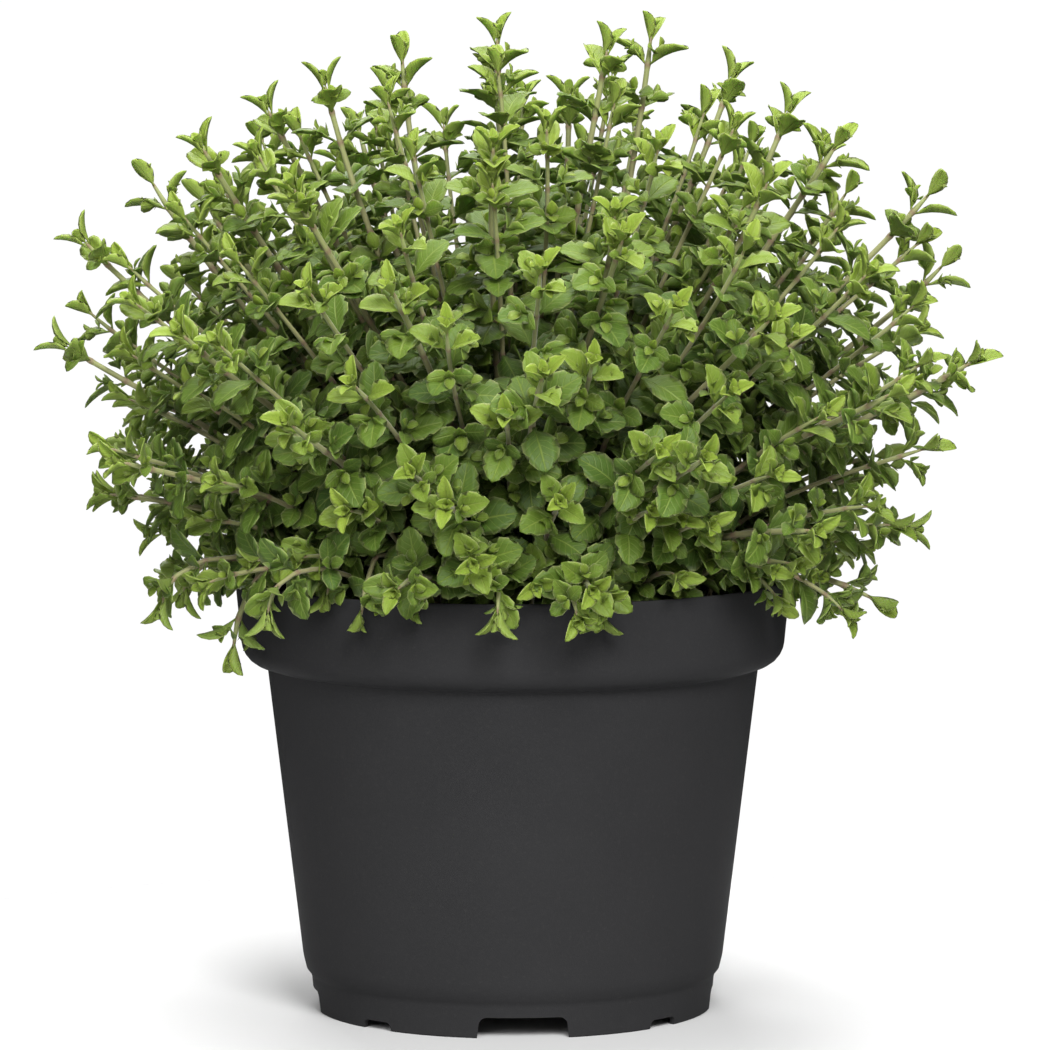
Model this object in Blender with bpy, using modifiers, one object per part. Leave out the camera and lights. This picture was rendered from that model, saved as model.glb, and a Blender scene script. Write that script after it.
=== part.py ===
"""Oregano plant in a round nursery pot: pot, potting soil and leafy stems."""
import math
import random

import bmesh
import bpy
from mathutils import Vector
from mathutils.bvhtree import BVHTree

# Pot, all heights from the surface that it stands on
POT_HEIGHT = 0.1327
RIM_RADIUS = 0.0850
RIM_LOWER_RADIUS = 0.0831
CREASE_RADIUS = 0.0751
CREASE_HEIGHT = 0.1052
BODY_FOOT_RADIUS = 0.0645
BODY_FOOT_HEIGHT = 0.0165
FOOT_RADIUS = 0.0620
FOOT_HEIGHT = 0.0101
FOOT_BOTTOM_RADIUS = 0.0610
WALL = 0.0013
FLOOR_TOP = 0.0118
FLOOR_THICKNESS = 0.0015
FOOT_RING_THICKNESS = 0.0018
FLOOR_INSET = 0.0022
RIM_WALL = 0.0015
BAND_FOOT = 0.0076
LEDGE_INSET = 0.0030
LEDGE_RISE = 0.0044
CREASE_INSET = 0.0007
CREASE_RISE = 0.0026
ROUND_STEPS = 38

# Notches in the foot ring and holes in the floor
NOTCH_TURN = math.radians(3)
DEEP_NOTCH = (0.028, 0.0064)
SHALLOW_NOTCH = (0.0115, 0.0027)
NOTCHES = 8
NOTCH_DEPTH = 0.012
NOTCH_TAPER = 0.93
NOTCH_ROUND = 0.0022
BELOW_SURFACE = -0.002
DRAIN_HOLES = 4
DRAIN_HOLE_RADIUS = 0.0050
DRAIN_HOLE_RING = 0.0440
PEG_LENGTH = 0.006

# Soil
GAP = 0.0004
SOIL_EDGE_HEIGHT = 0.1185
SOIL_CROWN_HEIGHT = 0.1205
SOIL_SPAN = RIM_LOWER_RADIUS - 0.0012
STEM_DEPTH = 0.010
HOLE_GAP = 0.0003
HOLE_HEADROOM = 0.004

# Plant
SEED = 11
STEMS = 53
GOLDEN_ANGLE = math.pi * (3 - math.sqrt(5))
FIRST_ANGLE = 0.4
ROOT_DISC_RADIUS = 0.0600
DOME_CENTRE = Vector((0.0015, 0.0005, 0.203))
DOME_AXES = Vector((0.140, 0.133, 0.094))
DOME_LOWEST = -0.80
DOME_SQUARENESS = 2.8
TIP_JITTER = 0.05
TIP_LEAF_REACH = 0.007
UPWARD_PULL = 0.62
ROOT_RISE = 0.004
CURVE_STEPS = 120
STEM_HALF_WIDTH = 0.00105
TIP_HALF_WIDTH = 0.00080
NODE_HEIGHT = 0.0018
BARE_STEP = 0.035
BUD_HEIGHT = 0.0012
# Distances from the axis between which a stem has to be over the rim, and how far over it
RIM_PASS = (0.0765, 0.0885)
RIM_PASS_HEIGHT = 0.0045
# Ends of the shoots that make the outline, seen from the front: across and up
OUTLINE = (
    (-0.005, 0.303), (-0.035, 0.297), (-0.058, 0.289), (-0.077, 0.281), (-0.096, 0.270),
    (-0.115, 0.258), (-0.134, 0.240), (-0.142, 0.206), (-0.127, 0.160), (-0.112, 0.127),
    (0.029, 0.300), (0.043, 0.304), (0.070, 0.290), (0.087, 0.280), (0.100, 0.271),
    (0.131, 0.255), (0.138, 0.231), (0.144, 0.203), (0.128, 0.146), (0.115, 0.127),
)
# End of the one stem that hangs down outside the pot
HANGING_TIP = Vector((-0.084, -0.048, 0.109))
OUTLINE_DEPTH = 0.7
OUTLINE_FLATNESS = 0.6
# Leaf pairs from the tip down: distance to the pair above, blade length, half width, rise from the side
LEAF_PAIRS = (
    (0.0012, 0.0095, 0.0024, 62),
    (0.0075, 0.0120, 0.0038, 40),
    (0.0110, 0.0140, 0.0049, 26),
    (0.0140, 0.0150, 0.0055, 16),
    (0.0160, 0.0150, 0.0056, 8),
)
INNER_STEMS = 18
INNER_PAIRS = 4
LOWEST_NODE = 0.012
# Sections of a blade: share of its length, share of its width, share of its droop
BLADE_SECTIONS = ((0.34, 1.0, 0.05), (0.72, 0.66, 0.55), (1.0, 0.0, 1.0))
BLADE_THICKNESS = 0.0009
BLADE_DROOP = 0.35
BLADE_CHANNEL = 0.28
PETIOLE = 0.0015
LEAF_GAP = 0.0006
# Ways to place a leaf, tried in this order: turn in radians and lift in degrees, at each size in turn
LEAF_SIZES = (1.0, 0.86, 0.74)
LEAF_TURNS = ((0, 0), (0.45, 8), (-0.45, 8), (0, 22), (0, -20), (0.8, 0), (-0.8, 0))
STEEPEST = 72

PLASTIC = ("black pot plastic", (0.018, 0.018, 0.019), 0.38)
SOIL = ("potting soil", (0.045, 0.028, 0.018), 0.95)
FOLIAGE = ("oregano foliage", (0.20, 0.30, 0.10), 0.60)


def clear_scene():
    for found in list(bpy.data.objects):
        bpy.data.objects.remove(found)


def collection(name):
    made = bpy.data.collections.new(name)
    bpy.context.scene.collection.children.link(made)
    return made


def surface(look):
    name, colour, roughness = look
    material = bpy.data.materials.new(name)
    material.use_nodes = True
    shader = material.node_tree.nodes["Principled BSDF"]
    shader.inputs["Base Color"].default_value = (*colour, 1.0)
    shader.inputs["Roughness"].default_value = roughness
    shader.inputs["Metallic"].default_value = 0.0
    material.diffuse_color = (*colour, 1.0)
    return material


def add_object(name, mesh, where, look=None):
    made = bpy.data.objects.new(name, mesh)
    where.objects.link(made)
    if look is not None:
        mesh.materials.append(look)
    return made


def turned(name, profile, where, look):
    """A turned solid from a profile of (radius, height) points, run down its outer side."""
    mesh = bpy.data.meshes.new(name)
    points = [(radius, 0.0, height) for radius, height in profile]
    mesh.from_pydata(points, [(i, i + 1) for i in range(len(points) - 1)], [])
    made = add_object(name, mesh, where, look)
    screw = made.modifiers.new("turn", 'SCREW')
    screw.axis = 'Z'
    screw.angle = math.tau
    screw.steps = ROUND_STEPS
    screw.render_steps = ROUND_STEPS
    screw.use_merge_vertices = True
    screw.merge_threshold = 0.00002
    screw.use_smooth_shade = True
    return made


def cut(target, cutter):
    cutter.hide_render = True
    cutter.display_type = 'WIRE'
    step = target.modifiers.new(cutter.name, 'BOOLEAN')
    step.operation = 'DIFFERENCE'
    step.solver = 'EXACT'
    step.object = cutter


# Pot

def pot_profile():
    """Up the inside, over the rim and down the outside; the small steps are the rounds at each corner."""
    inner_foot = BODY_FOOT_RADIUS - WALL
    return [
        (0.0, FLOOR_TOP),
        (FOOT_RADIUS - FLOOR_INSET, FLOOR_TOP),
        (inner_foot, BODY_FOOT_HEIGHT + 0.0010),
        (CREASE_RADIUS - WALL, CREASE_HEIGHT + 0.0008),
        (CREASE_RADIUS - CREASE_INSET, CREASE_HEIGHT + CREASE_RISE),
        (RIM_LOWER_RADIUS - LEDGE_INSET, CREASE_HEIGHT + LEDGE_RISE),
        (RIM_LOWER_RADIUS - RIM_WALL, CREASE_HEIGHT + BAND_FOOT),
        (RIM_RADIUS - 0.0014, POT_HEIGHT),
        (RIM_RADIUS - 0.0004, POT_HEIGHT),
        (RIM_RADIUS, POT_HEIGHT - 0.0005),
        (RIM_LOWER_RADIUS, CREASE_HEIGHT + BAND_FOOT),
        (RIM_LOWER_RADIUS - 0.0011, CREASE_HEIGHT + 0.0044),
        (RIM_LOWER_RADIUS - 0.0028, CREASE_HEIGHT + 0.0022),
        (CREASE_RADIUS + 0.0020, CREASE_HEIGHT + 0.0009),
        (CREASE_RADIUS, CREASE_HEIGHT),
        (BODY_FOOT_RADIUS, BODY_FOOT_HEIGHT),
        (BODY_FOOT_RADIUS - 0.0008, FOOT_HEIGHT + 0.0022),
        (FOOT_RADIUS, FOOT_HEIGHT),
        (FOOT_BOTTOM_RADIUS, 0.0),
        (FOOT_BOTTOM_RADIUS - FOOT_RING_THICKNESS, 0.0),
        (FOOT_RADIUS - FLOOR_INSET, FLOOR_TOP - FLOOR_THICKNESS),
        (0.0, FLOOR_TOP - FLOOR_THICKNESS),
    ]


def notch_cutter(where):
    """Rounded blocks that cut the notches out of the foot ring, deep and shallow in turn."""
    bm = bmesh.new()
    for index in range(NOTCHES):
        width, height = SHALLOW_NOTCH if index % 2 else DEEP_NOTCH
        angle = -math.pi / 2 + NOTCH_TURN + index * math.tau / NOTCHES
        block = bmesh.ops.create_cube(bm, size=1.0)["verts"]
        for vert in block:
            along = vert.co.x * NOTCH_DEPTH + FOOT_BOTTOM_RADIUS - 0.0005
            taper = 1.0 if vert.co.z < 0 else NOTCH_TAPER
            across = vert.co.y * width * taper
            up = height if vert.co.z > 0 else BELOW_SURFACE
            vert.co = (along, across, up)
        tops = [
            edge for edge in {e for v in block for e in v.link_edges}
            if all(v.co.z > 0 for v in edge.verts) and abs(edge.verts[0].co.x - edge.verts[1].co.x) > 0.001
        ]
        bent = bmesh.ops.bevel(bm, geom=tops, offset=min(NOTCH_ROUND, height * 0.6), segments=3, profile=0.5,
                               affect='EDGES')
        whole = {v for v in block if v.is_valid} | set(bent["verts"])
        for vert in whole:
            x, y = vert.co.x, vert.co.y
            vert.co.x = x * math.cos(angle) - y * math.sin(angle)
            vert.co.y = x * math.sin(angle) + y * math.cos(angle)
    mesh = bpy.data.meshes.new("foot notches")
    bm.to_mesh(mesh)
    bm.free()
    return add_object("foot_notches", mesh, where)


def drain_cutter(where):
    """Upright pegs that cut the drain holes out of the pot's floor, one behind each deep notch."""
    bm = bmesh.new()
    for index in range(DRAIN_HOLES):
        angle = -math.pi / 2 + NOTCH_TURN + index * math.tau / DRAIN_HOLES
        peg = bmesh.ops.create_cone(bm, cap_ends=True, segments=10, radius1=DRAIN_HOLE_RADIUS,
                                    radius2=DRAIN_HOLE_RADIUS, depth=PEG_LENGTH)["verts"]
        place = Vector((math.cos(angle), math.sin(angle), 0.0)) * DRAIN_HOLE_RING
        place.z = FLOOR_TOP - 0.001
        bmesh.ops.translate(bm, verts=peg, vec=place)
    mesh = bpy.data.meshes.new("drain holes")
    bm.to_mesh(mesh)
    bm.free()
    return add_object("drain_holes", mesh, where)


# Soil

def soil_profile():
    """Down from a low crown and along the pot's inside, a gap away from it."""
    inner_foot = BODY_FOOT_RADIUS - WALL
    rim_inside = RIM_LOWER_RADIUS - RIM_WALL
    return [
        (0.0, SOIL_CROWN_HEIGHT),
        (rim_inside + 0.0003, SOIL_EDGE_HEIGHT),
        (rim_inside - GAP, CREASE_HEIGHT + BAND_FOOT + 0.0002),
        (RIM_LOWER_RADIUS - LEDGE_INSET - GAP, CREASE_HEIGHT + LEDGE_RISE + GAP * 1.4),
        (CREASE_RADIUS - CREASE_INSET - GAP * 2, CREASE_HEIGHT + CREASE_RISE + GAP * 1.4),
        (inner_foot - GAP, BODY_FOOT_HEIGHT + 0.0010 + GAP),
        (FOOT_RADIUS - FLOOR_INSET - GAP * 1.5, FLOOR_TOP + GAP),
        (0.0, FLOOR_TOP + GAP),
    ]


def soil_top(x, y):
    """Height of the soil at a place."""
    share = math.hypot(x, y) / SOIL_SPAN
    return SOIL_CROWN_HEIGHT + (SOIL_EDGE_HEIGHT - SOIL_CROWN_HEIGHT) * share


def stem_hole_cutter(stems, where):
    """Square posts that cut a plain hole in the soil for each stem."""
    bm = bmesh.new()
    for stem in stems:
        foot = stem["foot"]
        half = STEM_HALF_WIDTH + HOLE_GAP
        post = bmesh.ops.create_cube(bm, size=1.0)["verts"]
        low = foot.z - HOLE_GAP
        high = SOIL_CROWN_HEIGHT + HOLE_HEADROOM
        across = stem["across"]
        beside = Vector((-across.y, across.x, 0.0))
        for vert in post:
            spot = across * (vert.co.x * 2 * half) + beside * (vert.co.y * 2 * half)
            vert.co = (foot.x + spot.x, foot.y + spot.y, low if vert.co.z < 0 else high)
    mesh = bpy.data.meshes.new("stem holes")
    bm.to_mesh(mesh)
    bm.free()
    return add_object("stem_holes", mesh, where)


# Plant: routes of the stems

def bezier(points, t):
    """A point on the curve with these four control points."""
    a, b, c, d = points
    u = 1 - t
    return a * u ** 3 + b * (3 * u * u * t) + c * (3 * u * t * t) + d * t ** 3


def dome_point(share, angle, reach):
    """A place on the dome: `share` of the way from its top to its lowest ring, squarer below its middle."""
    level = 1 - share * (1 - DOME_LOWEST)
    power = 2 if level > 0 else DOME_SQUARENESS
    flat = (1 - abs(level) ** power) ** (1 / power)
    unit = Vector((flat * math.cos(angle), flat * math.sin(angle), level))
    return DOME_CENTRE + Vector((unit[i] * DOME_AXES[i] * reach for i in range(3)))


def stem_tips(draw):
    """Ends of the shoots: even over the dome, and the nearest ones moved to the outline's own ends."""
    tips = []
    for index in range(STEMS):
        share = (index + 0.5) / STEMS
        reach = 1 + draw.uniform(-TIP_JITTER, TIP_JITTER * 0.3)
        tips.append(dome_point(share, index * GOLDEN_ANGLE + FIRST_ANGLE, reach))
    free = list(range(STEMS))
    for across, up in OUTLINE:
        def apart(i):
            return (tips[i].x - across) ** 2 + (tips[i].z - up) ** 2 + OUTLINE_FLATNESS * tips[i].y ** 2
        near = min(free, key=apart)
        free.remove(near)
        tips[near] = Vector((across, tips[near].y * OUTLINE_DEPTH, up))
    tips[min(free, key=lambda i: (tips[i] - HANGING_TIP).length)] = HANGING_TIP.copy()
    return tips


def over_rim(points):
    """True where a route passes the pot's rim with room to spare."""
    for point in points:
        radius = math.hypot(point.x, point.y)
        if RIM_PASS[0] < radius < RIM_PASS[1] and point.z < POT_HEIGHT + RIM_PASS_HEIGHT:
            return False
    return True


def stem_route(index, tip, draw):
    """A stem's root, its first upright point and its curve up to the tip."""
    share = (index + 0.5) / STEMS
    radius = ROOT_DISC_RADIUS * math.sqrt(share)
    angle = index * GOLDEN_ANGLE + FIRST_ANGLE
    root = Vector((radius * math.cos(angle), radius * math.sin(angle), 0.0))
    root.z = soil_top(root.x, root.y) + ROOT_RISE
    out = (tip - DOME_CENTRE)
    out = Vector((out[i] / DOME_AXES[i] for i in range(3))).normalized()
    lean = Vector((out.x, out.y, out.z * (0.9 if out.z > 0 else 1.15) + UPWARD_PULL)).normalized()
    if tip.z < POT_HEIGHT - 0.008:
        lean = Vector((out.x * 0.25, out.y * 0.25, -1.0)).normalized()
    end = tip - lean * TIP_LEAF_REACH
    span = (end - root).length
    sway = Vector((draw.uniform(-1, 1), draw.uniform(-1, 1), 0.0)) * span * 0.04
    lift = 0.36
    arch = 0.0
    for _ in range(12):
        crown = Vector((0, 0, span * lift))
        points = (root, root + crown, end - lean * span * 0.36 + sway + Vector((0, 0, arch)), end)
        if over_rim([bezier(points, step / 40) for step in range(41)]):
            break
        lift += 0.05
        arch += 0.0025
    return points


def frames_along(points, across):
    """Place, direction and two square axes at even steps along a stem's curve."""
    found = []
    side = across.copy()
    length = 0.0
    before = points[0]
    for step in range(CURVE_STEPS + 1):
        t = step / CURVE_STEPS
        here = bezier(points, t)
        ahead = (bezier(points, min(1.0, t + 0.004)) - bezier(points, max(0.0, t - 0.004))).normalized()
        side = (side - ahead * side.dot(ahead)).normalized()
        length += (here - before).length
        before = here
        found.append((length, here, ahead, side.copy(), ahead.cross(side)))
    return found


def frame_at(frames, length):
    """Place, direction and the two square axes at a length along a stem."""
    length = max(0.0, min(frames[-1][0], length))
    for low, high in zip(frames, frames[1:]):
        if high[0] >= length:
            part = (length - low[0]) / max(1e-9, high[0] - low[0])
            return [low[i].lerp(high[i], part) for i in range(1, 5)]
    return list(frames[-1][1:])


def half_width(stem, length):
    """Half the stem's thickness, which tapers to the tip."""
    part = min(1.0, max(0.0, length / stem["length"]))
    return STEM_HALF_WIDTH + (TIP_HALF_WIDTH - STEM_HALF_WIDTH) * part


def ring(stem, length, extra=0.0):
    """The stem's four corners at a length along it."""
    here, _, side, other = frame_at(stem["frames"], length)
    half = half_width(stem, length) + extra
    return [here + side * (half * a) + other * (half * b) for a, b in ((-1, -1), (1, -1), (1, 1), (-1, 1))]


# Plant: leaves

def leaf_sections(stem, node, face, blade, rise, swing, grow=0.0):
    """Two four-cornered sections (left, rib below, right, rib above) and the tip of a leaf."""
    length, half = blade
    here, ahead, side, other = frame_at(stem["frames"], node)
    normal = (side, other, -side, -other)[face]
    beside = ahead.cross(normal).normalized()
    out = (normal * math.cos(swing) + beside * math.sin(swing)).normalized()
    beside = ahead.cross(out).normalized()
    start = here + normal * half_width(stem, node)
    sections = []
    for along, wide, bend in BLADE_SECTIONS:
        tilt = math.radians(rise) - bend * BLADE_DROOP
        heading = out * math.cos(tilt) + ahead * math.sin(tilt)
        up = ahead * math.cos(tilt) - out * math.sin(tilt)
        centre = start + heading * (length * along + PETIOLE)
        if wide == 0.0:
            sections.append([centre + heading * grow])
            continue
        rib = BLADE_THICKNESS / 2 + grow
        edge = half * wide + grow
        channel = half * wide * BLADE_CHANNEL
        sections.append([
            centre - beside * edge + up * channel,
            centre - up * rib,
            centre + beside * edge + up * channel,
            centre + up * rib,
        ])
    return sections


def leaf_shell(sections, root=None):
    """Corners and faces of a leaf's hull, for clearance."""
    rings = ([root] if root else []) + sections[:2]
    corners = [corner for part in rings for corner in part] + sections[2]
    faces = []
    for low in range(len(rings) - 1):
        for i in range(4):
            a, b = low * 4 + i, low * 4 + (i + 1) % 4
            faces.append((a, b, b + 4))
            faces.append((a, b + 4, a + 4))
    last = (len(rings) - 1) * 4
    tip = len(corners) - 1
    for i in range(4):
        faces.append((last + i, last + (i + 1) % 4, tip))
    return corners, faces


def leaf_root(stem, node, face, grow=0.0):
    """The four corners of the stem's side that a leaf grows from."""
    low = ring(stem, node - NODE_HEIGHT / 2 - grow, grow)
    high = ring(stem, node + NODE_HEIGHT / 2 + grow, grow)
    a, b = ((1, 2), (2, 3), (3, 0), (0, 1))[face]
    return [low[a], low[b], high[b], high[a]]


def clear_of_pot(corners):
    """True for a leaf wholly above the rim, wholly outside the pot, or wholly inside over the soil."""
    reach = [(math.hypot(c.x, c.y), c.z) for c in corners]
    if all(z > POT_HEIGHT + 0.0012 for _, z in reach):
        return True
    if all(r > RIM_RADIUS + 0.0015 for r, _ in reach) and all(z > 0.090 for _, z in reach):
        return True
    return all(r < 0.0795 and z > SOIL_CROWN_HEIGHT + 0.0015 for r, z in reach)


class Neighbours:
    """Bodies already placed, each with a ball round it for a quick first test."""

    def __init__(self):
        self.bodies = []

    def add(self, corners, faces, owner, kind):
        centre = sum(corners, Vector()) / len(corners)
        radius = max((corner - centre).length for corner in corners)
        self.bodies.append((centre, radius, BVHTree.FromPolygons(corners, faces), owner, kind))

    def hit(self, corners, faces, skip):
        centre = sum(corners, Vector()) / len(corners)
        radius = max((corner - centre).length for corner in corners)
        tree = BVHTree.FromPolygons(corners, faces)
        for other_centre, other_radius, other, owner, kind in self.bodies:
            if (owner, kind) == skip:
                continue
            if (other_centre - centre).length < radius + other_radius and tree.overlap(other):
                return True
        return False


def plan_plant():
    """Every stem's route and the leaves on it, none of them within a small gap of another stem's."""
    draw = random.Random(SEED)
    tips = stem_tips(draw)
    placed = Neighbours()
    stems = []
    for index, tip in enumerate(tips):
        points = stem_route(index, tip, draw)
        turn = draw.uniform(0, math.pi / 2)
        across = Vector((math.cos(turn), math.sin(turn), 0.0))
        frames = frames_along(points, across)
        foot = Vector((points[0].x, points[0].y, soil_top(points[0].x, points[0].y) - STEM_DEPTH))
        stem = {"frames": frames, "length": frames[-1][0], "across": across, "foot": foot, "leaves": []}
        lengths = [frames[-1][0] * k / 24 for k in range(25)]
        for low, high in zip(lengths, lengths[1:]):
            corners = ring(stem, low) + ring(stem, high)
            faces = [(i, (i + 1) % 4, (i + 1) % 4 + 4, i + 4) for i in range(4)]
            placed.add(corners, faces, index, "stem")
        stems.append(stem)
    for rank, (_, blade_length, blade_half, rise) in enumerate(LEAF_PAIRS):
        below = sum(pair[0] for pair in LEAF_PAIRS[:rank + 1])
        for index, stem in enumerate(stems):
            node = stem["length"] - below * (1 + 0.12 * math.sin(index * 2.3 + rank))
            if node < LOWEST_NODE or (index < INNER_STEMS and rank >= INNER_PAIRS):
                continue
            for half_turn in range(2):
                face = rank % 2 + 2 * half_turn
                vigour = draw.uniform(0.90, 1.08)
                tilt = rise + draw.uniform(-9, 9)
                yaw = draw.uniform(-0.25, 0.25)
                leaf = fit_leaf(placed, stem, index, node, face, (blade_length * vigour, blade_half * vigour),
                                tilt, yaw)
                if leaf:
                    stem["leaves"].append(leaf)
    return stems


def fit_leaf(placed, stem, index, node, face, blade, tilt, yaw):
    """The leaf as it should be, or else turned or smaller until it is clear of its neighbours."""
    for scale in LEAF_SIZES:
        for turn, lift in LEAF_TURNS:
            size = (blade[0] * scale, blade[1] * scale)
            rise = min(STEEPEST, tilt + lift)
            ghost = leaf_sections(stem, node, face, size, rise, yaw + turn, LEAF_GAP)
            root = leaf_root(stem, node, face, LEAF_GAP)
            corners, faces = leaf_shell(ghost, root)
            blade_corners, blade_faces = leaf_shell(ghost)
            if not clear_of_pot(corners):
                continue
            if placed.hit(corners, faces, (index, "stem")):
                continue
            if placed.hit(blade_corners, blade_faces, None):
                continue
            sections = leaf_sections(stem, node, face, size, rise, yaw + turn)
            real, real_faces = leaf_shell(sections, leaf_root(stem, node, face))
            placed.add(real, real_faces, index, "leaf")
            return {"node": node, "face": face, "sections": sections}
    return None


# Plant: the mesh of a leafy stem

def extrude(bm, face, corners):
    """The face pulled out to new corners; returns the new face and the faces round its sides."""
    before = list(face.verts)
    new = bmesh.ops.extrude_discrete_faces(bm, faces=[face])["faces"][0]
    for vert, corner in zip(new.verts, corners):
        vert.co = corner
    sides = []
    after = list(new.verts)
    for i in range(4):
        j = (i + 1) % 4
        shared = [f for f in before[i].link_faces if {before[j], after[i], after[j]} <= set(f.verts)]
        sides.append((shared[0], before[i], before[j], after[i], after[j]))
    return new, sides


def grow_leaf(bm, face, stem, leaf):
    """A leaf grown out of one face of the stem's node, triangulated alike above and below."""
    root = leaf_root(stem, leaf["node"], leaf["face"])
    start = min(range(4), key=lambda i: (face.verts[i].co - root[0]).length)
    turned_round = (face.verts[(start + 1) % 4].co - root[1]).length > 1e-5
    for section in leaf["sections"][:2]:
        order = [0] * 4
        for i in range(4):
            order[(start - i) % 4 if turned_round else (start + i) % 4] = i
        corners = [section[order[i]] for i in range(4)]
        face, sides = extrude(bm, face, corners)
        for i, (side, low_a, low_b, high_a, high_b) in enumerate(sides):
            rib_first = order[i] % 2 == 1
            pair = (low_a, high_b) if rib_first else (low_b, high_a)
            bmesh.utils.face_split(side, pair[0], pair[1])
    middle = bmesh.ops.poke(bm, faces=[face])["verts"][0]
    middle.co = leaf["sections"][2][0]


def leafy_stem(name, stem, where, look):
    """The square stem raised section by section, then its leaves grown out of the sides of its nodes."""
    bm = bmesh.new()
    base = ring(stem, 0.0)
    low = [Vector((corner.x, corner.y, stem["foot"].z)) for corner in base]
    verts = [bm.verts.new(corner) for corner in low]
    face = bm.faces.new(verts)
    face.normal_update()
    nodes = sorted({leaf["node"] for leaf in stem["leaves"]})
    stops = [0.0]
    first = nodes[0] if nodes else stem["length"]
    bare = max(1, round(first / BARE_STEP))
    stops += [first * k / bare for k in range(1, bare)]
    for node in nodes:
        stops += [node - NODE_HEIGHT / 2, node + NODE_HEIGHT / 2]
    stops.append(stem["length"])
    bands = {}
    for stop in stops:
        face, sides = extrude(bm, face, ring(stem, stop))
        bands[round(stop, 7)] = sides
    top = bmesh.ops.poke(bm, faces=[face])["verts"][0]
    top.co += frame_at(stem["frames"], stem["length"])[1] * BUD_HEIGHT
    bottom = [f for f in bm.faces if all(abs(v.co.z - stem["foot"].z) < 1e-7 for v in f.verts)]
    if not bottom:
        bm.faces.new(list(reversed(verts)))
    for leaf in stem["leaves"]:
        sides = bands[round(leaf["node"] + NODE_HEIGHT / 2, 7)]
        root = leaf_root(stem, leaf["node"], leaf["face"])
        centre = sum(root, Vector()) / 4
        side = min((entry[0] for entry in sides if entry[0].is_valid),
                   key=lambda f: (f.calc_center_median() - centre).length)
        grow_leaf(bm, side, stem, leaf)
    bmesh.ops.triangulate(bm, faces=[f for f in bm.faces if len(f.verts) > 3])
    bmesh.ops.recalc_face_normals(bm, faces=bm.faces[:])
    mesh = bpy.data.meshes.new(name)
    bm.to_mesh(mesh)
    bm.free()
    return add_object(name, mesh, where, look)


def main():
    clear_scene()
    plant = collection("oregano plant in pot")
    cutters = collection("cutters")
    plastic = surface(PLASTIC)
    earth = surface(SOIL)
    foliage = surface(FOLIAGE)

    pot = turned("pot", pot_profile(), plant, plastic)
    cut(pot, notch_cutter(cutters))
    cut(pot, drain_cutter(cutters))

    stems = plan_plant()
    soil = turned("potting_soil", soil_profile(), plant, earth)
    cut(soil, stem_hole_cutter(stems, cutters))

    for index, stem in enumerate(stems):
        leafy_stem(f"leafy_stem_{index + 1:02d}", stem, plant, foliage)


main()
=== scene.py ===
# %% [markdown]
# # An oregano plant in its pot
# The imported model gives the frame: a pot, its soil and leafy stems. Here each of them gets its finished
# look. The stems follow the same rule as the solids do, so every finer stem grows exactly where its solid
# stands. Side shoots, small leaves and thinner stems then fill the gaps.

# %% The frame
import math
import random
from functools import partial

import bmesh
import bpy
from mathutils import Matrix, Vector
from mathutils.bvhtree import BVHTree


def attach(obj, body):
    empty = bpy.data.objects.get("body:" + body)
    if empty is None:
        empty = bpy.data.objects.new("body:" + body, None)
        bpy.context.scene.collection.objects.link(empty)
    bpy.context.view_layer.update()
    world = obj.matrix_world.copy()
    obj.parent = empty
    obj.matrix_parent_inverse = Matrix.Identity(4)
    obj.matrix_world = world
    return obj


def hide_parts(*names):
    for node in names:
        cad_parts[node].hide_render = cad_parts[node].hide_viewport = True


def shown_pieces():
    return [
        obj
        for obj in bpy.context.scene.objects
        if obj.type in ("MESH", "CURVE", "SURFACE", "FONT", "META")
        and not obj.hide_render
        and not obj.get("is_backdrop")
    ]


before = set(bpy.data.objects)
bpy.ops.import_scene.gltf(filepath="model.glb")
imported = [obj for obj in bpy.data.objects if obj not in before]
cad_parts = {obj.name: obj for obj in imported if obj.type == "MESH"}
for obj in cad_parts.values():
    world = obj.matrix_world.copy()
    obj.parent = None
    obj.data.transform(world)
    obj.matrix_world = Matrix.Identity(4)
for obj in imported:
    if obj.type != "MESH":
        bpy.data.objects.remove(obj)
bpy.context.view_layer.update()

# %% [markdown]
# ## Sizes
# The pot's and the plant's driving sizes, in metres, as the solids have them. A notch is given by its width
# and height, an outline tip by how far across and how high it is, and a pair of leaves by its distance
# below the one above, the length and half width of its blades, and how steeply they rise in degrees.

# %% Sizes
POT_HEIGHT = 0.1327
RIM_RADIUS = 0.0850
RIM_LOWER_RADIUS = 0.0831
CREASE_RADIUS = 0.0751
CREASE_HEIGHT = 0.1052
BODY_FOOT_RADIUS = 0.0645
BODY_FOOT_HEIGHT = 0.0165
FOOT_RADIUS = 0.0620
FOOT_HEIGHT = 0.0101
FOOT_BOTTOM_RADIUS = 0.0610
WALL = 0.0013
FLOOR_TOP = 0.0118
NOTCH_TURN = math.radians(3)
DEEP_NOTCH = (0.028, 0.0064)
SHALLOW_NOTCH = (0.0115, 0.0027)
NOTCHES = 8
DRAIN_HOLES = 4
DRAIN_HOLE_RADIUS = 0.0050
DRAIN_HOLE_RING = 0.0440
SOIL_EDGE_HEIGHT = 0.1185
SOIL_CROWN_HEIGHT = 0.1205
STEM_DEPTH = 0.010

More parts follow.
